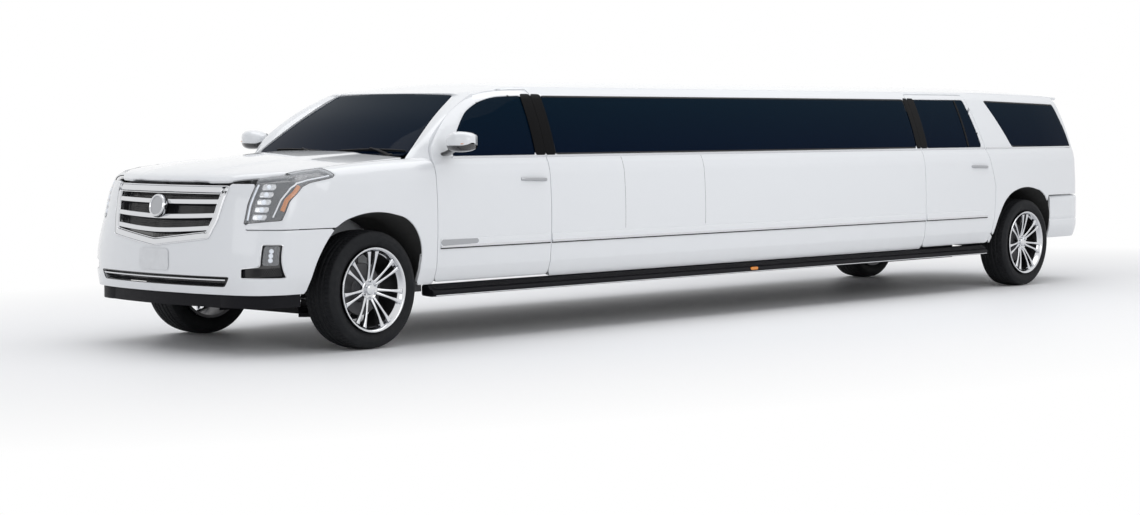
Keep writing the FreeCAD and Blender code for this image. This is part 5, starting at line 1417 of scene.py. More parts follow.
def build_tail_lamps(red, black, glow, chrome):
    """Tail lamps: a tall red cover over a dark back, a light guide as its spine, bright cells at the foot."""
    grid = grid_over(TAIL_LAMP, 5, 7, 14)
    pair("tail_lamp_back", shell(deeper(wrap, 22), *grid, [grow(TAIL_LAMP, 2)], 5, 1), black,
         replaces=("tail_lamps",))
    pair("tail_lamp_cover", shell(deeper(wrap, -3), *grid, [grow(TAIL_LAMP, -1)], 5, 3, 4), red)
    z = np.linspace(905, 1640, 60)
    y = np.interp(z, [872, 1270, 1676], [848, 838, 712])
    q, n = facing(wrap, across_tail(columns(y, z)))
    n *= np.sign((n * [-1, 0.4, 0]).sum(1, keepdims=True))
    spine = sweep(q - n * 13, n, LEFT, ellipse(8, 9, 10, 0.7))
    pair("tail_lamp_spine", spine, glow)
    cells = []
    for k in range(4):
        c, m = facing(wrap, across_tail([[848, 912 + 34 * k]]))
        m *= np.sign((m * [-1, 0.4, 0]).sum())
        cells.append(lathe_disc([(0, 6), (9, 5), (14, 1), (14, -3), (0, -3)], 20, c[0] - m[0] * 14, m[0]))
    pair("tail_lamp_cells", cells, chrome, degrees=60)


# ---- wheels ----------------------------------------------------------------------------------------------
TREAD_HALF = 118.0            # half width of the tread
CROWN_POINTS, TYRE_POINTS = 56, 456
SIPES = 76                    # slits round each rib


def tread_height(turn, y, half):
    """Height of the tread, 1 on a block and 0 in a groove: four grooves round the tyre, with slanted sipes
    between them that reverse from rib to rib."""
    ring = 1.0
    for at in (-0.52, -0.18, 0.18, 0.52):
        ring = ring * (1 - np.exp(-((y / half - at) / 0.045) ** 4))
    rib = np.sign(np.sin(y / half * math.pi * 2.9))
    phase = (turn * SIPES / (2 * math.pi) + 0.55 * rib * y / half) % 1.0
    sipe = 1 - np.exp(-((phase - 0.5) / 0.09) ** 4) * (np.abs(y / half) > 0.2)
    return ring * (0.35 + 0.65 * sipe)


def tyre_mesh(centre, sign, depth):
    """Tyre: a crown with a moulded tread, rounded shoulders, ringed walls and a bead, closed inside."""
    half, bead = 142.5, 292.0
    y = np.linspace(-TREAD_HALF, TREAD_HALF, CROWN_POINTS)
    crown = TYRE_R - 9 * np.abs(y / TREAD_HALF) ** 3
    s = np.linspace(0, 1, 15)[1:]
    wall_y = TREAD_HALF + 24 * np.sin(s * math.pi) ** 0.8 * (1 - 0.35 * s)
    wall_y = np.where(s > 0.9, wall_y - 2, wall_y)
    ridge = 1.4 * (np.abs(s - 0.36) < 0.05) + 1.4 * (np.abs(s - 0.66) < 0.05)
    wall = columns(crown[-1] - (crown[-1] - bead) * s, np.minimum(wall_y + ridge, half - 0.3))
    lip = np.array([(bead, 92.0), (bead + 22, 100.0), (bead + 70, 122.0), (TYRE_R - 30, 96.0)])
    profile = np.concatenate([columns(crown, y), wall, lip, lip[::-1] * [1, -1], wall[::-1] * [1, -1]])
    points, faces = revolve(profile, TYRE_POINTS, (0, 0, 0))
    grid = points.reshape(TYRE_POINTS, len(profile), 3)
    turn = np.arange(TYRE_POINTS)[:, None] * 2 * math.pi / TYRE_POINTS
    drop = depth * (1 - tread_height(turn, y[None], TREAD_HALF)) * (np.abs(y[None]) < TREAD_HALF - 1)
    tread = grid[:, :CROWN_POINTS]
    radius = np.hypot(tread[..., 0], tread[..., 2])
    tread[..., ::2] *= ((radius - drop) / radius)[..., None]
    grid[..., 1] *= sign
    if sign < 0:
        faces = [face[::-1] for face in faces]
    return grid.reshape(-1, 3) + centre, faces


def spoke(angle, sign, lean):
    """One bar of a split spoke from hub to rim: it widens at both ends and rises towards the middle."""
    r = np.linspace(58, 262, 22)
    t = (r - 58) / 204
    offset = lean * (11 + 25 * t ** 1.1)
    width = 20 - 6 * np.sin(np.pi * t) + 8 * t ** 6
    y = 76 + 46 * t + 4 * np.sin(np.pi * t)
    radial = np.array([math.cos(angle), 0, math.sin(angle)])
    across = np.array([-math.sin(angle), 0, math.cos(angle)])
    path = r[:, None] * radial + offset[:, None] * across + y[:, None] * [0, sign, 0]
    girth = ellipse(1, 1, 14, 0.55)[None] * columns(width * 1.25, 30 - 8 * t)[:, None, :]
    return sweep(path, across, LEFT, girth)


def wheel_meshes(centre, sign, count):
    """Rim lip, split spokes and hub; cap and nuts; barrel and brake disc: profiles turned about the axle."""
    def turned(profile, count, closed=True, at=(0, 0, 0)):
        return revolve(np.array(profile) * [1, sign], count, centre + at, closed)

    rim = turned([(290, 130), (291, 136), (289, 140), (285, 141), (278, 137), (272, 127), (265, 112),
                  (263, 12), (262, -80), (270, -137), (280, -139), (290, -138), (290, -128), (279, -122),
                  (276, 0), (279, 124)], 128)
    bright = [turned([(289, 131), (292, 137), (290, 141.5), (285, 142.5), (278, 139), (271, 128), (264, 113),
                      (258, 104), (254, 100), (254, 96), (264, 98), (272, 112), (280, 124)], 128)]
    for k in range(count):
        for lean in (-1, 1):
            points, faces = spoke(math.pi / 2 + 2 * math.pi * k / count, sign, lean)
            bright.append((points + centre, faces))
    bright.append(turned([(0, 88), (50, 90), (64, 96), (71, 92), (74, 76), (72, 10), (0, 10)], 64, False))
    small = [turned([(0, 110), (22, 109), (33, 105), (37, 99), (37, 84), (0, 84)], 48, False)]
    for k in range(6):
        turn = math.pi * (k + 0.5) / 3
        at = np.array([56 * math.cos(turn), 0, 56 * math.sin(turn)])
        small.append(turned([(0, 112), (6, 111), (9.5, 106), (10, 88), (0, 88)], 6, False, at))
    disc = turned([(178, 2), (180, -1), (180, -21), (178, -24), (90, -24), (90, 2)], 96)
    bell = turned([(0, 12), (84, 12), (91, 5), (91, -22), (0, -22)], 64, False)
    return joined(bright), joined(small), joined([rim, disc, bell])


def build_wheels(rubber, alloy, chrome, iron, sizes):
    """Four tyres and four wheels, each on its own body."""
    for side_name, sign in (("left", 1), ("right", -1)):
        for where, axle in (("front", FRONT_AXLE), ("rear", REAR_AXLE)):
            centre = np.array([axle.x, sign * TRACK_Y, TYRE_R])
            body = f"{side_name}_{where}_wheel"
            piece(f"{body}_tread", tyre_mesh(centre, sign, sizes.tread_depth / MM), rubber, body,
                  (f"{side_name}_{where}_tyre",), 50)
            bright, small, disc = wheel_meshes(centre, sign, sizes.spokes)
            piece(f"{body}_spokes", bright, alloy, body, (body,), 40)
            piece(f"{body}_cap_and_nuts", small, chrome, body)
            piece(f"{body}_barrel_and_disc", disc, iron, body)


# ---- cabin -----------------------------------------------------------------------------------------------
def cushion(lo, hi, power=0.32, channels=(0, 0), depth=7.0, crown=(0, 0, 0), count=(56, 40)):
    """A stuffed block: a rounded box, each cosine and sine raised to a small power, whose sides pull in
    between its corners, with sewn channels as rows of half waves and a piped seam round its middle."""
    lo, hi = np.array(lo, float), np.array(hi, float)
    n, m = count
    a = np.arange(n)[:, None] * 2 * math.pi / n
    b = (np.arange(m)[None, :] / (m - 1) - 0.5) * math.pi
    ca, sa, cb, sb = np.cos(a), np.sin(a), np.cos(b), np.sin(b)
    shape = [np.sign(ca) * np.abs(ca) ** power * np.abs(cb) ** power,
             np.sign(sa) * np.abs(sa) ** power * np.abs(cb) ** power,
             np.sign(sb) * np.abs(sb) ** power]
    u = columns(*shape)
    half = (hi - lo) / 2
    waist = 1 - 0.045 * (1 - np.abs(u[..., [2]])) * np.array([1, 1, 0])
    p = u * half * waist
    for axis, waves in enumerate(channels):
        if waves:
            wave = np.abs(np.sin((u[..., axis] + 1) / 2 * math.pi * waves)) ** 0.5
            p[..., 2] += depth * (wave - 1) * np.clip(u[..., 2], 0, 1) ** 2
    seam = np.exp(-((p[..., 2] - half[2] * 0.55) / 5) ** 2)
    p[..., :2] *= 1 + 0.006 * seam[..., None]
    p[..., 2] += sum(c * (1 - u[..., k] ** 2) for k, c in enumerate(crown[:2])) * (u[..., 2] > 0)
    return (p + (lo + hi) / 2).reshape(-1, 3), quads(n, m, True, False)


def leant(lying, x, z, degrees):
    """A cushion made lying on its back, stood up at (x, z) and leant back by an angle."""
    (length, y, thick), faces = lying[0].T, lying[1]
    s, c = math.sin(math.radians(degrees)), math.cos(math.radians(degrees))
    return columns(x - length * s + thick * c, y, z + length * c + thick * s), [f[::-1] for f in faces]


def pad(name, part, finish):
    """A padded piece, smooth all round."""
    piece(name, part, finish, degrees=180)


def build_seats(leather, sizes):
    """Front seats, side bench and rear bench as separate crowned cushions over the CAD bases."""
    for side_name, y in (("left", 430), ("right", -430)):
        seat = cushion((fx(-1885), y - 262, 730), (fx(-1322), y + 262, 872), 0.3, (0, 5), 9, (8, 10))
        pad(f"{side_name}_seat_cushion", seat, leather)
        back = cushion((0, y - 254, 0), (590, y + 254, 128), 0.3, (6, 0), 9, (6, 10))
        pad(f"{side_name}_seat_back", leant(back, fx(-1872), 845, 12.5), leather)
        head = cushion((0, y - 132, 0), (168, y + 132, 104), 0.45, (0, 0), 0, (8, 8))
        pad(f"{side_name}_head_restraint", leant(head, fx(-2000), 1402, 12.5), leather)
    x0, x1 = rx(1750), fx(-2900)
    count = sizes.bench_cushions
    for k in range(count):
        a, b = x0 + (x1 - x0) * k / count + 4, x0 + (x1 - x0) * (k + 1) / count - 4
        seat = cushion((a, -712, 742), (b, -318, 872), 0.28, (6, 0), 9, (9, 12))
        pad(f"bench_cushion_{k + 1}", seat, leather)
        points, faces = cushion((a, 0, 0), (b, 388, 84), 0.28, (6, 0), 8, (6, 8))
        x, length, thick = points.T
        lean = math.radians(9)
        y = -784 + thick * math.cos(lean) - length * math.sin(lean) * 0.3
        back = columns(x, y, 862 + length * math.cos(lean)), [f[::-1] for f in faces]
        pad(f"bench_back_{k + 1}", back, leather)
    for k, y in enumerate((-420, 0, 420)):
        seat = cushion((rx(255), y - 206, 812), (rx(768), y + 206, 925), 0.28, (0, 4), 9, (9, 9))
        pad(f"rear_bench_cushion_{k + 1}", seat, leather)
        back = cushion((0, y - 206, 0), (400, y + 206, 92), 0.28, (0, 4), 8, (6, 8))
        pad(f"rear_bench_back_{k + 1}", leant(back, rx(238), 905, 16), leather)


def build_cabin(vinyl, gloss, chrome, clear, leather, wood, glow):
    """Dashboard with hood, vents, screen and dials, steering wheel grip, bar glasses and ceiling."""
    def board(p):
        y, s = p.T
        knots = [0, 130, 260, 330, 400, 520, 700]
        x = spline(s, knots, [-560, -690, -800, -880, -938, -944, -872])
        z = spline(s, knots, [1196, 1202, 1186, 1158, 1098, 1010, 790])
        hood = 34 * np.exp(-((y - 405) / 190) ** 4) * np.exp(-((s - 270) / 110) ** 2)
        bow_x = 30 * (1 - (y / 860) ** 2)
        return columns(fx(x) + bow_x - 8, y, z + hood)

    ys, ss = lines(-864, 864, 24), lines(0, 700, 16)
    top = board(np.stack(np.meshgrid(ys, ss, indexing="ij"), -1).reshape(-1, 2)).reshape(len(ys), len(ss), 3)
    piece("dashboard_cover", tube(np.concatenate([top, top[:, ::-1] + [14, 0, -14]], 1)), vinyl)

    def on_board(y, s, lift=0.0):
        p = np.array([[y, s]], float)
        a, b = board(p + [[0.5, 0]]) - board(p), board(p + [[0, 0.5]]) - board(p)
        n = unit(np.cross(b, a)[0])
        n *= -np.sign(n[0]) if abs(n[0]) > 0.05 else np.sign(n[2])
        return board(p)[0] + n * lift, n

    vents = []
    for y in (-760, -190, 190, 760):
        at, n = on_board(y, 395, 2)
        vents.append(lathe_disc([(0, 2), (34, 2), (38, 6), (44, 7), (48, 3), (48, -6), (0, -6)], 36, at, n))
        for k in range(-2, 3):
            vents.append(rod(at + [-4, -34, k * 12], at + [-4, 34, k * 12], 2, 6))
    piece("dashboard_vents", vents, chrome, degrees=50)

    def flat(y0, y1, s0, s1, lift):
        edge = rounded(rectangle(y0, s0, y1, s1, 8), 12)
        return shell(lambda p: board(p) + [-lift, 0, lift * 0.3], lines(y0 - 5, y1 + 5, 14),
                     lines(s0 - 5, s1 + 5, 10), [edge], 6, 3)

    piece("dashboard_screen", flat(-150, 150, 430, 545, 6), gloss)
    piece("dashboard_dials", [flat(290, 400, 300, 372, 4), flat(412, 522, 300, 372, 4)], gloss)
    piece("dashboard_console", flat(-165, 165, 560, 680, 5), wood)
    wheel = np.array([fx(-1120), 405, 1040])
    lean = math.radians(24)
    axis = np.array([-math.cos(lean), 0, math.sin(lean)])
    up = np.array([math.sin(lean), 0, math.cos(lean)])
    turn = np.linspace(0, 2 * math.pi, 97)[:-1]
    out = np.cos(turn)[:, None] * [0, 1, 0] + np.sin(turn)[:, None] * up
    fat = 1 + 0.12 * np.exp(-((np.abs(np.cos(turn)) - 1) / 0.08) ** 2)
    girth = ellipse(29, 33, 16, 0.9)[None] * fat[:, None, None]
    piece("steering_wheel_grip", sweep(wheel + 176 * out, out, axis, girth, True), leather,
          "steering_wheel")
    boss_profile = [(0, 34), (40, 33), (62, 26), (72, 12), (74, -8), (0, -8)]
    piece("steering_wheel_boss", lathe_disc(boss_profile, 48, wheel, axis), vinyl, "steering_wheel")
    glasses = []
    x0, x1 = rx(1690 + 600 + 150), fx(-2700 - 150)
    for k, x in enumerate(np.arange(x0 + 120, x1 - 100, 128)):
        y = 640 + 34 * (k % 2)
        cup = [(0, 806), (31, 806), (32, 809), (6, 815), (4, 830), (4, 872), (14, 888), (30, 912), (34, 944),
               (31, 986), (29, 986), (32, 944), (28, 914), (12, 892), (0, 886)]
        points, faces = revolve(cup, 28, (0, 0, 0), False)
        glasses.append((points[:, [0, 2, 1]] + [x, y, 0], [f[::-1] for f in faces]))
    piece("bar_glasses", glasses, clear, degrees=60)
    edges = [rod((rx(2290) + 4, y, z), (fx(-2700) - 4, y, z), 4)
             for z, y in ((1124, 556), (1074, 557), (797, 557))]
    piece("bar_light_lines", edges, glow)

    def ceiling(p):
        q = roof_surface(p)
        return q - columns(0, 0, 60 + 22 * (np.abs(p[:, 1]) / 690) ** 6)

    loop = rounded(rectangle(rx(-960), -640, fx(-1500), 640, 30), 40)
    lined = shell(ceiling, lines(rx(-965), fx(-1490), 110), lines(-650, 650, 55), [loop], 8, 3)
    piece("ceiling", lined, vinyl)


# ---- mirrors, boards, wipers and plates ------------------------------------------------------------------
def build_mirrors(paint, black, silver, amber):
    """Door mirrors: a shell carried along Y whose section is rounded in front and flat behind, with a dark
    scoop under it, a silvered glass and a foot on the door."""
    s = np.linspace(0, 1, 33)
    y = 1011 + 216 * s
    fore, aft, low, high = table(y, [(1015, -664, -786, 1347, 1466), (1120, -644, -796, 1340, 1484),
                                     (1227, -676, -790, 1350, 1474)])
    end = (1 - np.abs(2 * s - 1) ** 5).clip(0.02) ** 0.34
    turn = np.arange(40) * 2 * math.pi / 40
    c, d = np.cos(turn), np.sin(turn)
    deep, tall = (fore - aft)[:, None] / 2 * end[:, None], (high - low)[:, None] / 2 * end[:, None]
    out_x = np.where(c > 0, np.abs(c) ** 0.8, np.maximum(c * 1.6, -1)) * deep
    out_z = np.sign(d) * np.abs(d) ** 0.62 * tall
    path = columns(fx((fore + aft) / 2), y, (low + high) / 2)
    door = "{}_front_door"
    head = sweep(path, AHEAD, UP, columns(out_x, out_z))
    pair("mirror_shell", head, paint, door, ("{}_mirror",))
    scoop_z = np.minimum(out_z - 1.2, -26 * end[:, None])
    scoop = sweep(path, AHEAD, UP, columns(out_x * 1.012, scoop_z))
    pair("mirror_scoop", scoop, black, door)

    def behind(p):
        return columns(fx(-797), *p.T)

    pane = rounded(outline([(1030, 1364), (1030, 1456), (1120, 1470), (1212, 1462), (1212, 1362),
                            (1120, 1356)], 8), 16)
    glass = shell(behind, lines(1025, 1216, 12), lines(1350, 1475, 12), [pane], 4, 1.5)
    pair("mirror_glass", glass, silver, door)
    t = np.linspace(0, 1, 12)
    foot = columns(fx(-742 + 6 * t), 938 + 104 * t, 1322 + 40 * t ** 1.4)
    girth = ellipse(1, 1, 20, 0.8)[None] * columns(104 - 36 * t, 34 - 4 * t)[:, None]
    pair("mirror_foot", sweep(foot, AHEAD, UP, girth), black, door)
    lamp = sweep(columns(fx(-668), 1060 + 140 * t, 1398), AHEAD, UP,
                 ellipse(18, 9, 12)[None] * (1 - (2 * t - 1) ** 6 * 0.6)[:, None, None])
    pair("mirror_repeater", lamp, amber, door)


def build_boards(black, alloy):
    """Running boards: one section carried from arch to arch, with a ribbed tread and a bright lower edge."""
    edge = rounded(outline([(900, 411), (900, 332), (1000, 326), (1024, 334), (1031, 350), (1028, 368),
                            (984, 383), (968, 411)], 8), 5, 2)
    x = np.concatenate([[rx(688), rx(692)], lines(rx(700), fx(-560), 180), [fx(-552), fx(-548)]])
    scale = np.interp(x, [x[0], x[0] + 8, x[-1] - 8, x[-1]], [0.93, 1, 1, 0.93])
    middle_yz = edge.mean(0)
    board = sweep(columns(x, *middle_yz), LEFT, UP, (edge - middle_yz)[None] * scale[:, None, None])
    pair("running_board_step", board, black, replaces=("running_boards",))
    ends = np.array([x[0] + 20, x[-1] - 20])
    ribs = []
    for k in range(6):
        y = 984 + 7.5 * k
        z = 392 - (y - 986) * 0.55 + 12
        ribs.append(sweep(columns(ends, y, z), (0, 1, -0.5), (0, 0.5, 1), ellipse(4, 3, 8)))
    pair("running_board_ribs", ribs, black)
    edge = sweep(columns(ends, 1027.5, 336), LEFT, UP, ellipse(7, 7, 14, 0.8))
    pair("running_board_edge", edge, alloy)


def build_wipers(black, rubber):
    """Two wipers parked at the foot of the windscreen: a tapered arm, a bowed blade and its rubber."""
    for name, pivot, start, stop in (("left", (700, 1296), (130, 1330), (770, 1338)),
                                     ("right", (40, 1276), (-560, 1336), (90, 1320))):
        t = np.linspace(0, 1, 40)
        across = start[0] + (stop[0] - start[0]) * t
        z = start[1] + (stop[1] - start[1]) * t + 10 * np.sin(math.pi * t)
        q, n = facing(screen_surface, columns(across, z))
        n = n * np.sign(n[:, :1])
        up = unit(np.cross(np.gradient(q, axis=0), n))
        taper = 1 - 0.45 * np.abs(2 * t - 1) ** 3
        blade = sweep(q + n * 15, n, up, ellipse(9, 13, 10, 0.7)[None] * taper[:, None, None])
        edge = sweep(q + n * 6, n, up, ellipse(10, 3.5, 8, 0.8))
        hub, hub_n = facing(screen_surface, np.array([pivot], float))
        hub_n = hub_n * np.sign(hub_n[:, :1])
        root = hub[0] + hub_n[0] * 14
        tip = q[20] + n[20] * 27
        w = np.linspace(0, 1, 14)[:, None]
        way = root * (1 - w) + tip * w + hub_n[0] * 9 * np.sin(math.pi * w)
        girth = ellipse(1, 1, 12, 0.7)[None] * columns(15 - 6 * w[:, 0], 30 - 18 * w[:, 0])[:, None]
        arm = sweep(way, hub_n[0], unit(np.cross(tip - root, hub_n[0])), girth)
        boss = lathe_disc([(0, 20), (13, 19), (19, 12), (20, -16), (0, -16)], 28, root, hub_n[0])
        piece(f"{name}_wiper_arm", [arm, boss], black, degrees=50)
        piece(f"{name}_wiper_blade", blade, black)
        piece(f"{name}_wiper_rubber", edge, rubber)


def build_plates(blank_white, black, glow):
    """Blank plates in front and behind, and the lamps over the rear one."""
    blank = rounded(rectangle(-152, 624, 152, 776, 8), 10)
    plate = shell(deeper(rear_bumper_surface, 17), lines(-158, 158, 14), lines(618, 782, 14), [blank], 3, 1)
    piece("rear_plate_blank", plate, blank_white)
    edge = shell(deeper(rear_bumper_surface, 15.5), lines(-160, 160, 6), lines(616, 784, 6),
                 [grow(blank, 3), grow(blank, -7)], 4, 1.4)
    piece("rear_plate_surround", edge, black)
    front = rectangle(-156, 556, 156, 702)
    plate = shell(deeper(front_body, -7), lines(-162, 162, 14), lines(550, 708, 14), [rounded(front, 12)],
                  3, 1)
    piece("front_plate_blank", plate, blank_white)
    lamps = []
    for w in (-100, 100):
        lens = rounded(rectangle(w - 24, 786, w + 24, 794, 4), 3)
        lamps.append(shell(deeper(rear_bumper_surface, 12), lines(w - 27, w + 27, 6), lines(784, 796, 3),
                           [lens], 8, 2))
    piece("rear_plate_lamps", lamps, glow)


def build_engine(black, iron, rubber):
    """Engine bay: a ribbed cover on the engine, an air box, a battery and the hoses between them."""
    cover = cushion((fx(-250), -222, 1036), (fx(395), 222, 1098), 0.22, (8, 0), 9, (10, 8), (96, 44))
    piece("engine_cover", cover, black)
    box = cushion((fx(80), -640, 880), (fx(420), -360, 1080), 0.2, (0, 5), 8, (6, 6))
    battery = cushion((fx(120), 400, 880), (fx(400), 590, 1075), 0.12, (0, 0), 0, (2, 2))
    piece("engine_air_box", box, black)
    piece("engine_battery", battery, black)
    caps = [lathe_disc([(0, 22), (9, 21), (11, 16), (11, -4), (0, -4)], 20, (fx(x), 495, 1074), (0, 0, 1))
            for x in (160, 360)]
    piece("engine_battery_posts", caps, iron, degrees=50)
    t = np.linspace(0, 1, 90)
    duct = columns(fx(260 + 130 * np.sin(math.pi * t)), -380 + 190 * t, 1010 + 62 * np.sin(math.pi * t * 0.9))
    girth = ellipse(84, 84, 20)[None] * (1 + 0.045 * np.sin(t * 2 * math.pi * 15))[:, None, None]
    ahead = np.gradient(duct, axis=0)
    across = unit(np.cross(ahead, (0, 0, 1.0)))
    piece("engine_air_duct", sweep(duct, across, unit(np.cross(across, ahead)), girth), rubber, degrees=60)


# ---- stage -----------------------------------------------------------------------------------------------
WHITE = (1, 1, 1, 1)
FLOOR_SIZE = 60.0


def floor_finish(near, far):
    """Pale floor that shades round the car and runs out into the white of the background."""
    f = Finish("Studio floor", (0.94, 0.94, 0.94), 0.55)
    x, y = f.axis("X"), f.axis("Y")
    way = ((x / 8.2) ** 2 + (y / 4.2) ** 2) ** 0.5
    share = ((way - near) / (far - near)).clamp()
    light = f.node("ShaderNodeEmission", {}, {"Color": WHITE, "Strength": 1.0})
    seen = f.ray("Camera") + f.ray("Glossy") + f.ray("Transmission")
    f.surface((share * seen).clamp(), Value(f, f.shader.outputs[0]), light)
    return f.material


def softbox(name, place, target, size, energy):
    """Rectangular studio lamp aimed at a point."""
    lamp = bpy.data.lights.new(name, "AREA")
    lamp.shape, lamp.size, lamp.size_y, lamp.energy = "RECTANGLE", size[0], size[1], energy
    obj = bpy.data.objects.new(name, lamp)
    obj.location = place
    obj.rotation_euler = (Vector(target) - Vector(place)).to_track_quat("-Z", "Y").to_euler()
    bpy.context.scene.collection.objects.link(obj)


def build_stage(stage):
    """Floor, white surround, soft lamps and the camera."""
    scene = bpy.context.scene
    scene.view_settings.view_transform = "Standard"
    mesh = bpy.data.meshes.new("studio_floor")
    corners = [(a * FLOOR_SIZE, b * FLOOR_SIZE, 0) for a, b in ((-1, -1), (1, -1), (1, 1), (-1, 1))]
    mesh.from_pydata(corners, [], [(0, 1, 2, 3)])
    mesh.materials.append(floor_finish(stage.floor_near, stage.floor_far))
    floor = bpy.data.objects.new("studio_floor", mesh)
    scene.collection.objects.link(floor)
    world = bpy.data.worlds.new("Studio surround")
    w = Nodes(world)
    white = w.node("ShaderNodeBackground", {}, {"Color": WHITE, "Strength": 1.0})
    dim = w.node("ShaderNodeBackground", {}, {"Color": (0.93, 0.95, 1.0, 1), "Strength": stage.surround})
    w.surface((w.ray("Camera") + w.ray("Transmission") + w.ray("Glossy")).clamp(), dim, white)
    scene.world = world
    softbox("overhead_lamp", (0.5, 0.5, 7.5), (0, 0, 0.8), (12.5, 5.0), stage.overhead)
    softbox("side_lamp", (3.5, 11.5, 4.6), (0.5, 0.4, 0.9), (11.0, 4.0), stage.side)
    softbox("nose_lamp", (13.5, 1.0, 3.8), (4.4, 0, 0.8), (4.5, 3.0), stage.nose)
    camera = bpy.data.cameras.new("camera")
    camera.lens = stage.lens
    camera.sensor_width = 36.0
    obj = bpy.data.objects.new("camera", camera)
    obj.location = stage.camera
    yaw, pitch = stage.yaw, stage.pitch
    way = Vector((math.cos(yaw) * math.cos(pitch), math.sin(yaw) * math.cos(pitch), math.sin(pitch)))
    obj.rotation_euler = way.to_track_quat("-Z", "Y").to_euler()
    scene.collection.objects.link(obj)
    scene.camera = obj


# ---- finishes in use -------------------------------------------------------------------------------------
# makers of the finishes, each called with the finish's name and the panel's colours
RECIPES = {
    "Body paint": lambda name, s: body_finish(name, tuple(s.paint)),
    "Dark glass": lambda name, s: glass_finish(name, s.glass_share),
    "Chrome": lambda name, s: metal_finish(name, tuple(s.chrome), 0.06),
    "Bright alloy": lambda name, s: metal_finish(name, tuple(s.alloy), 0.13),
    "Mirror silver": lambda name, s: metal_finish(name, (0.86, 0.87, 0.88), 0.015, 0.01),
    "Brake iron": lambda name, s: metal_finish(name, (0.10, 0.10, 0.105), 0.42, brushed=True),
    "Satin trim": lambda name, s: metal_finish(name, (0.40, 0.41, 0.43), 0.30),
    "Band black": lambda name, s: plastic_finish(name, (0.0015, 0.0015, 0.002), 0.3, shine=0.06),
    "Exhaust steel": lambda name, s: metal_finish(name, (0.42, 0.41, 0.40), 0.34, brushed=True),
    "Plate blank": lambda name, s: plastic_finish(name, (0.66, 0.67, 0.68), 0.32, coat=0.4),
    "Trim black": lambda name, s: plastic_finish(name, (0.006, 0.006, 0.008), 0.5, 0.0002, shine=0.12),
    "Gloss black": lambda name, s: plastic_finish(name, (0.006, 0.006, 0.008), 0.12, coat=1.0),
    "Mesh black": lambda name, s: plastic_finish(name, (0.005, 0.005, 0.007), 0.35, shine=0.12),
    "Seal rubber": lambda name, s: plastic_finish(name, (0.010, 0.010, 0.010), 0.7, 0.0001),
    "Wheel house liner": lambda name, s: plastic_finish(name, (0.012, 0.012, 0.012), 0.85, 0.0004),
    "Soft vinyl": lambda name, s: plastic_finish(name, (0.030, 0.030, 0.034), 0.55, 0.0003),
    "Grained hide": lambda name, s: leather_finish(name, tuple(s.leather)),
    "Dark veneer": lambda name, s: wood_finish(name),
    "Cut pile carpet": lambda name, s: carpet_finish(name),
    "Tyre rubber": lambda name, s: tyre_finish(name),
    "Clear lens": lambda name, s: lens_finish(name, (0.86, 0.89, 0.92), 0.10),
    "Red lens": lambda name, s: lens_finish(name, (0.34, 0.006, 0.008), 0.72, ribs=24),
    "Amber lens": lambda name, s: lens_finish(name, (0.80, 0.26, 0.02), 0.9, ribs=30),
    "Lamp light guide": lambda name, s: lamp_finish(name, (0.86, 0.90, 0.96), s.lamp_glow),
    "Daytime strip": lambda name, s: lamp_finish(name, (0.90, 0.92, 0.95), s.lamp_glow * 0.6),
}
CONSTRUCTION = {
    "body_white": "Body paint", "tinted_glass": "Dark glass", "chrome": "Chrome",
    "bright_alloy": "Bright alloy", "trim_black": "Trim black", "frame_black": "Trim black",
    "cast_metal": "Brake iron", "exhaust_steel": "Exhaust steel", "tyre_rubber": "Tyre rubber",
    "lamp_clear": "Gloss black", "lamp_red": "Red lens", "black_leather": "Grained hide",
    "dash_vinyl": "Soft vinyl", "carpet": "Cut pile carpet", "bar_wood": "Dark veneer",
}


def finishes(*names):
    """Finishes by name, each made on first use from the colours in the panel."""
    chosen = bpy.context.scene.limousine_finishes
    return [bpy.data.materials.get(name) or RECIPES[name](name, chosen) for name in names]


# ---- add-on ----------------------------------------------------------------------------------------------
class LimousineFinishes(bpy.types.PropertyGroup):
    """Colours and sheens that a user would change."""

    paint: FloatVectorProperty(name="Paint", description="Colour of the body panels", subtype="COLOR", size=3,
                               min=0, max=1, default=(0.81, 0.825, 0.84))
    glass_share: FloatProperty(name="Glass darkness", description="How much light the dark glass keeps out",
                               subtype="FACTOR", min=0.5, max=0.98, default=0.965)
    chrome: FloatVectorProperty(name="Chrome", description="Tint of the bright mouldings", subtype="COLOR",
                                size=3, min=0, max=1, default=(0.66, 0.67, 0.69))
    alloy: FloatVectorProperty(name="Alloy", description="Tint of the wheels", subtype="COLOR", size=3, min=0,
                               max=1, default=(0.66, 0.67, 0.69))
    leather: FloatVectorProperty(name="Leather", description="Colour of the seats", subtype="COLOR", size=3,
                                 min=0, max=1, default=(0.020, 0.020, 0.022))
    lamp_glow: FloatProperty(name="Lamp glow", description="How brightly the light guides show when unlit",
                             min=0, max=2, default=0.25)


class LimousineSizes(bpy.types.PropertyGroup):
    """Sizes and counts that a user would change."""

    belt_height: FloatProperty(name="Belt moulding",
                               description="Height of the bright moulding under the windows", unit="LENGTH",
                               min=0.006, max=0.03, default=0.017)
    sill_line: FloatProperty(name="Sill line", description="Height of the bright line along the doors' foot",
                             unit="LENGTH", min=0.004, max=0.03, default=0.015)
    spokes: IntProperty(name="Spokes", description="Split spokes in each wheel", min=5, max=10, default=7)
    tread_depth: FloatProperty(name="Tread depth", description="Depth of the grooves in the tyres",
                               unit="LENGTH", min=0.002, max=0.012, default=0.0085)
    mesh_pitch: FloatProperty(name="Mesh pitch", description="Spacing of the wires behind the grille",
                              unit="LENGTH", min=0.008, max=0.04, default=0.016)
    bar_height: FloatProperty(name="Grille bar", description="Height of each bar across the grille",
                              unit="LENGTH", min=0.01, max=0.04, default=0.0319)
    bench_cushions: IntProperty(name="Bench cushions", description="Cushions along the lounge bench", min=3,
                                max=8, default=5)


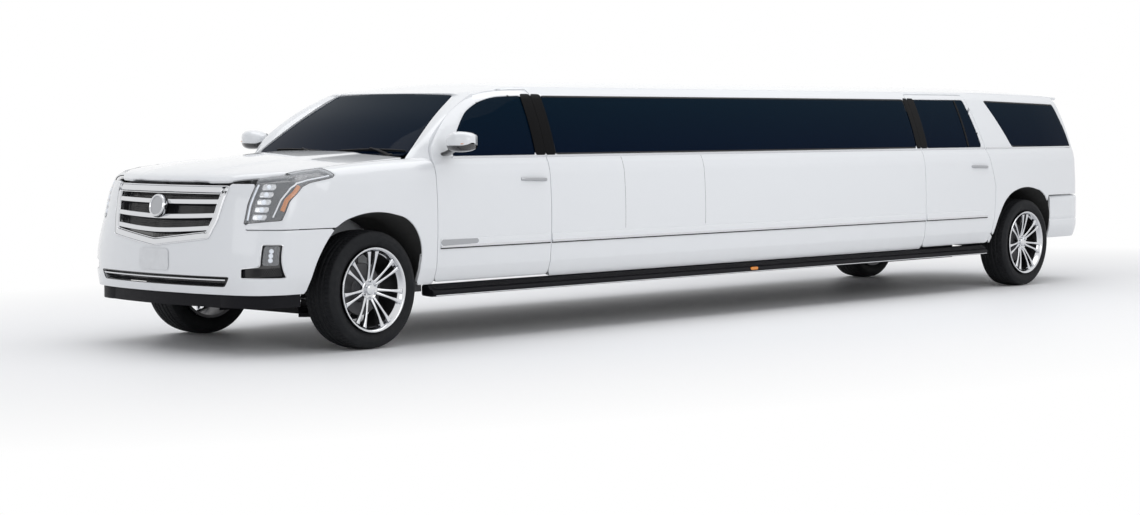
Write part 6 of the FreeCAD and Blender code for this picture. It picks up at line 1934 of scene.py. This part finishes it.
class LimousineStage(bpy.types.PropertyGroup):
    """Lamps, floor and camera."""

    overhead: FloatProperty(name="Overhead lamp", description="Power of the lamp over the roof", unit="POWER",
                            min=0, max=3000, default=285)
    side: FloatProperty(name="Side lamp", description="Power of the lamp along the left side", unit="POWER",
                        min=0, max=3000, default=200)
    nose: FloatProperty(name="Nose lamp", description="Power of the lamp before the nose", unit="POWER",
                        min=0, max=3000, default=40)
    surround: FloatProperty(name="Surround", description="Strength of the light from all round", min=0, max=1,
                            default=0.62)
    floor_near: FloatProperty(name="Floor shade ends",
                              description="Where white starts to mix in, in shares of the car's half length",
                              min=0.2, max=2, default=0.62)
    floor_far: FloatProperty(name="Floor white starts",
                             description="Where the floor is all white, in shares of the car's half length",
                             min=0.4, max=4, default=1.35)
    lens: FloatProperty(name="Lens", description="Focal length of the camera in millimetres", min=20, max=200,
                        default=74.18)
    camera: FloatVectorProperty(name="Camera", description="Where the camera stands", subtype="XYZ", size=3,
                                unit="LENGTH", default=(15.128, 12.780, 1.578))
    yaw: FloatProperty(name="Camera heading", description="Way the camera looks, turned from the X axis",
                       subtype="ANGLE", default=math.radians(222.49))
    pitch: FloatProperty(name="Camera pitch", description="How far the camera looks up", subtype="ANGLE",
                         default=math.radians(-3.40))


class LIMOUSINE_OT_doors(bpy.types.Operator):
    """Four doors with inner cards, armrests and pull handles"""

    bl_idname = "limousine.doors"
    bl_label = "Doors"

    def execute(self, context):
        build_doors(*finishes("Body paint", "Soft vinyl", "Satin trim"))
        return {"FINISHED"}


class LIMOUSINE_OT_sides(bpy.types.Operator):
    """Cabin sides round the rear corners and their linings"""

    bl_idname = "limousine.sides"
    bl_label = "Cabin sides"

    def execute(self, context):
        build_sides(*finishes("Body paint", "Soft vinyl"))
        return {"FINISHED"}


class LIMOUSINE_OT_front(bpy.types.Operator):
    """Fenders and front bumper"""

    bl_idname = "limousine.front"
    bl_label = "Fenders and front bumper"

    def execute(self, context):
        build_front(*finishes("Body paint"))
        return {"FINISHED"}


class LIMOUSINE_OT_hood(bpy.types.Operator):
    """Hood and the cowl behind it"""

    bl_idname = "limousine.hood"
    bl_label = "Hood and cowl"

    def execute(self, context):
        build_hood(*finishes("Body paint", "Trim black"))
        return {"FINISHED"}


class LIMOUSINE_OT_pillars(bpy.types.Operator):
    """Windscreen pillars and the rails over the front doors"""

    bl_idname = "limousine.pillars"
    bl_label = "Windscreen pillars"

    def execute(self, context):
        build_pillars(*finishes("Body paint"))
        return {"FINISHED"}


class LIMOUSINE_OT_roof(bpy.types.Operator):
    """Roof skin"""

    bl_idname = "limousine.roof"
    bl_label = "Roof"

    def execute(self, context):
        build_roof(*finishes("Body paint"))
        return {"FINISHED"}


class LIMOUSINE_OT_tail(bpy.types.Operator):
    """Tailgate and rear bumper"""

    bl_idname = "limousine.tail"
    bl_label = "Tailgate and rear bumper"

    def execute(self, context):
        build_tail(*finishes("Body paint"))
        build_rear_bumper(*finishes("Body paint", "Trim black"))
        return {"FINISHED"}


class LIMOUSINE_OT_glass(bpy.types.Operator):
    """Curved panes and the rubber round the fixed ones"""

    bl_idname = "limousine.glass"
    bl_label = "Glass"

    def execute(self, context):
        build_glass(*finishes("Dark glass", "Seal rubber"))
        return {"FINISHED"}


class LIMOUSINE_OT_side_trim(bpy.types.Operator):
    """Bright mouldings, dark bands between the windows, seams and side markers"""

    bl_idname = "limousine.side_trim"
    bl_label = "Side trim"

    def execute(self, context):
        build_side_trim(*finishes("Chrome", "Band black", "Seal rubber", "Amber lens", "Body paint",
                                  "Satin trim"), context.scene.limousine_sizes)
        return {"FINISHED"}


class LIMOUSINE_OT_arches(bpy.types.Operator):
    """Wheel houses"""

    bl_idname = "limousine.arches"
    bl_label = "Wheel houses"

    def execute(self, context):
        build_arches(*finishes("Wheel house liner"))
        return {"FINISHED"}


class LIMOUSINE_OT_grille(bpy.types.Operator):
    """Grille frame, bars, boss and mesh"""

    bl_idname = "limousine.grille"
    bl_label = "Grille"

    def execute(self, context):
        build_grille(*finishes("Chrome", "Mesh black", "Gloss black", "Satin trim"),
                     context.scene.limousine_sizes)
        return {"FINISHED"}


class LIMOUSINE_OT_headlamps(bpy.types.Operator):
    """Headlamps with their cells, strips and covers"""

    bl_idname = "limousine.headlamps"
    bl_label = "Headlamps"

    def execute(self, context):
        build_headlamps(*finishes("Chrome", "Gloss black", "Lamp light guide", "Clear lens", "Amber lens",
                                  "Daytime strip"))
        return {"FINISHED"}


class LIMOUSINE_OT_fog_lamps(bpy.types.Operator):
    """Fog lamps and the lower intake"""

    bl_idname = "limousine.fog_lamps"
    bl_label = "Fog lamps and intake"

    def execute(self, context):
        build_fogs(*finishes("Chrome", "Gloss black", "Mesh black", "Lamp light guide", "Clear lens"))
        return {"FINISHED"}


class LIMOUSINE_OT_tail_lamps(bpy.types.Operator):
    """Tail lamps"""

    bl_idname = "limousine.tail_lamps"
    bl_label = "Tail lamps"

    def execute(self, context):
        build_tail_lamps(*finishes("Red lens", "Gloss black", "Lamp light guide", "Chrome"))
        return {"FINISHED"}


class LIMOUSINE_OT_wheels(bpy.types.Operator):
    """Four wheels with tyres, caps, nuts and brake discs"""

    bl_idname = "limousine.wheels"
    bl_label = "Wheels"

    def execute(self, context):
        build_wheels(*finishes("Tyre rubber", "Bright alloy", "Chrome", "Brake iron"),
                     context.scene.limousine_sizes)
        return {"FINISHED"}


class LIMOUSINE_OT_mirrors(bpy.types.Operator):
    """Door mirrors"""

    bl_idname = "limousine.mirrors"
    bl_label = "Mirrors"

    def execute(self, context):
        build_mirrors(*finishes("Body paint", "Gloss black", "Mirror silver", "Amber lens"))
        return {"FINISHED"}


class LIMOUSINE_OT_boards(bpy.types.Operator):
    """Running boards"""

    bl_idname = "limousine.boards"
    bl_label = "Running boards"

    def execute(self, context):
        build_boards(*finishes("Trim black", "Bright alloy"))
        return {"FINISHED"}


class LIMOUSINE_OT_wipers(bpy.types.Operator):
    """Windscreen wipers"""

    bl_idname = "limousine.wipers"
    bl_label = "Wipers"

    def execute(self, context):
        build_wipers(*finishes("Trim black", "Seal rubber"))
        return {"FINISHED"}


class LIMOUSINE_OT_plates(bpy.types.Operator):
    """Blank plates and the lamps over the rear one"""

    bl_idname = "limousine.plates"
    bl_label = "Plates"

    def execute(self, context):
        build_plates(*finishes("Plate blank", "Trim black", "Lamp light guide"))
        return {"FINISHED"}


class LIMOUSINE_OT_engine(bpy.types.Operator):
    """Engine cover, air box, battery and hoses"""

    bl_idname = "limousine.engine"
    bl_label = "Engine bay"

    def execute(self, context):
        build_engine(*finishes("Trim black", "Brake iron", "Seal rubber"))
        return {"FINISHED"}


class LIMOUSINE_OT_seats(bpy.types.Operator):
    """Front seats, lounge bench and rear bench"""

    bl_idname = "limousine.seats"
    bl_label = "Seats"

    def execute(self, context):
        build_seats(*finishes("Grained hide"), context.scene.limousine_sizes)
        return {"FINISHED"}


class LIMOUSINE_OT_cabin(bpy.types.Operator):
    """Dashboard, steering wheel, bar glasses and ceiling"""

    bl_idname = "limousine.cabin"
    bl_label = "Cabin"

    def execute(self, context):
        build_cabin(*finishes("Soft vinyl", "Gloss black", "Chrome", "Clear lens", "Grained hide",
                              "Dark veneer", "Lamp light guide"))
        return {"FINISHED"}


class LIMOUSINE_OT_construction(bpy.types.Operator):
    """Finishes on the construction pieces that show as they are"""

    bl_idname = "limousine.construction"
    bl_label = "Construction finishes"

    def execute(self, context):
        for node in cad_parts.values():
            slot = node.material_slots[0]
            slot.material = finishes(CONSTRUCTION[slot.material.name.split(".")[0]])[0]
        return {"FINISHED"}


class LIMOUSINE_OT_stage(bpy.types.Operator):
    """Floor, white surround, lamps and camera"""

    bl_idname = "limousine.stage"
    bl_label = "Stage"

    def execute(self, context):
        build_stage(context.scene.limousine_stage)
        return {"FINISHED"}


OPERATORS = (
    LIMOUSINE_OT_doors, LIMOUSINE_OT_sides, LIMOUSINE_OT_front, LIMOUSINE_OT_hood, LIMOUSINE_OT_pillars,
    LIMOUSINE_OT_roof, LIMOUSINE_OT_tail, LIMOUSINE_OT_glass, LIMOUSINE_OT_side_trim, LIMOUSINE_OT_arches,
    LIMOUSINE_OT_grille, LIMOUSINE_OT_headlamps, LIMOUSINE_OT_fog_lamps, LIMOUSINE_OT_tail_lamps,
    LIMOUSINE_OT_wheels, LIMOUSINE_OT_mirrors, LIMOUSINE_OT_boards, LIMOUSINE_OT_wipers, LIMOUSINE_OT_plates,
    LIMOUSINE_OT_engine, LIMOUSINE_OT_seats, LIMOUSINE_OT_cabin, LIMOUSINE_OT_construction,
    LIMOUSINE_OT_stage,
)


class LIMOUSINE_PT_panel(bpy.types.Panel):
    """Sizes, colours and builders of the limousine"""

    bl_idname = "LIMOUSINE_PT_panel"
    bl_label = "Stretch limousine"
    bl_space_type = "VIEW_3D"
    bl_region_type = "UI"
    bl_category = "Limousine"

    def draw(self, context):
        scene = context.scene
        for group in (scene.limousine_finishes, scene.limousine_sizes, scene.limousine_stage):
            box = self.layout.box()
            for name in group.__annotations__:
                box.prop(group, name)
        for operator in OPERATORS:
            self.layout.operator(operator.bl_idname)


CLASSES = (LimousineFinishes, LimousineSizes, LimousineStage) + OPERATORS + (LIMOUSINE_PT_panel,)


def register():
    for cls in CLASSES:
        bpy.utils.register_class(cls)
    bpy.types.Scene.limousine_finishes = PointerProperty(type=LimousineFinishes)
    bpy.types.Scene.limousine_sizes = PointerProperty(type=LimousineSizes)
    bpy.types.Scene.limousine_stage = PointerProperty(type=LimousineStage)


def unregister():
    del bpy.types.Scene.limousine_stage
    del bpy.types.Scene.limousine_sizes
    del bpy.types.Scene.limousine_finishes
    for cls in reversed(CLASSES):
        bpy.utils.unregister_class(cls)


def main():
    """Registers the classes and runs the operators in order."""
    register()
    for operator in OPERATORS:
        group, name = operator.bl_idname.split(".")
        getattr(getattr(bpy.ops, group), name)()


if __name__ == "__main__":
    main()
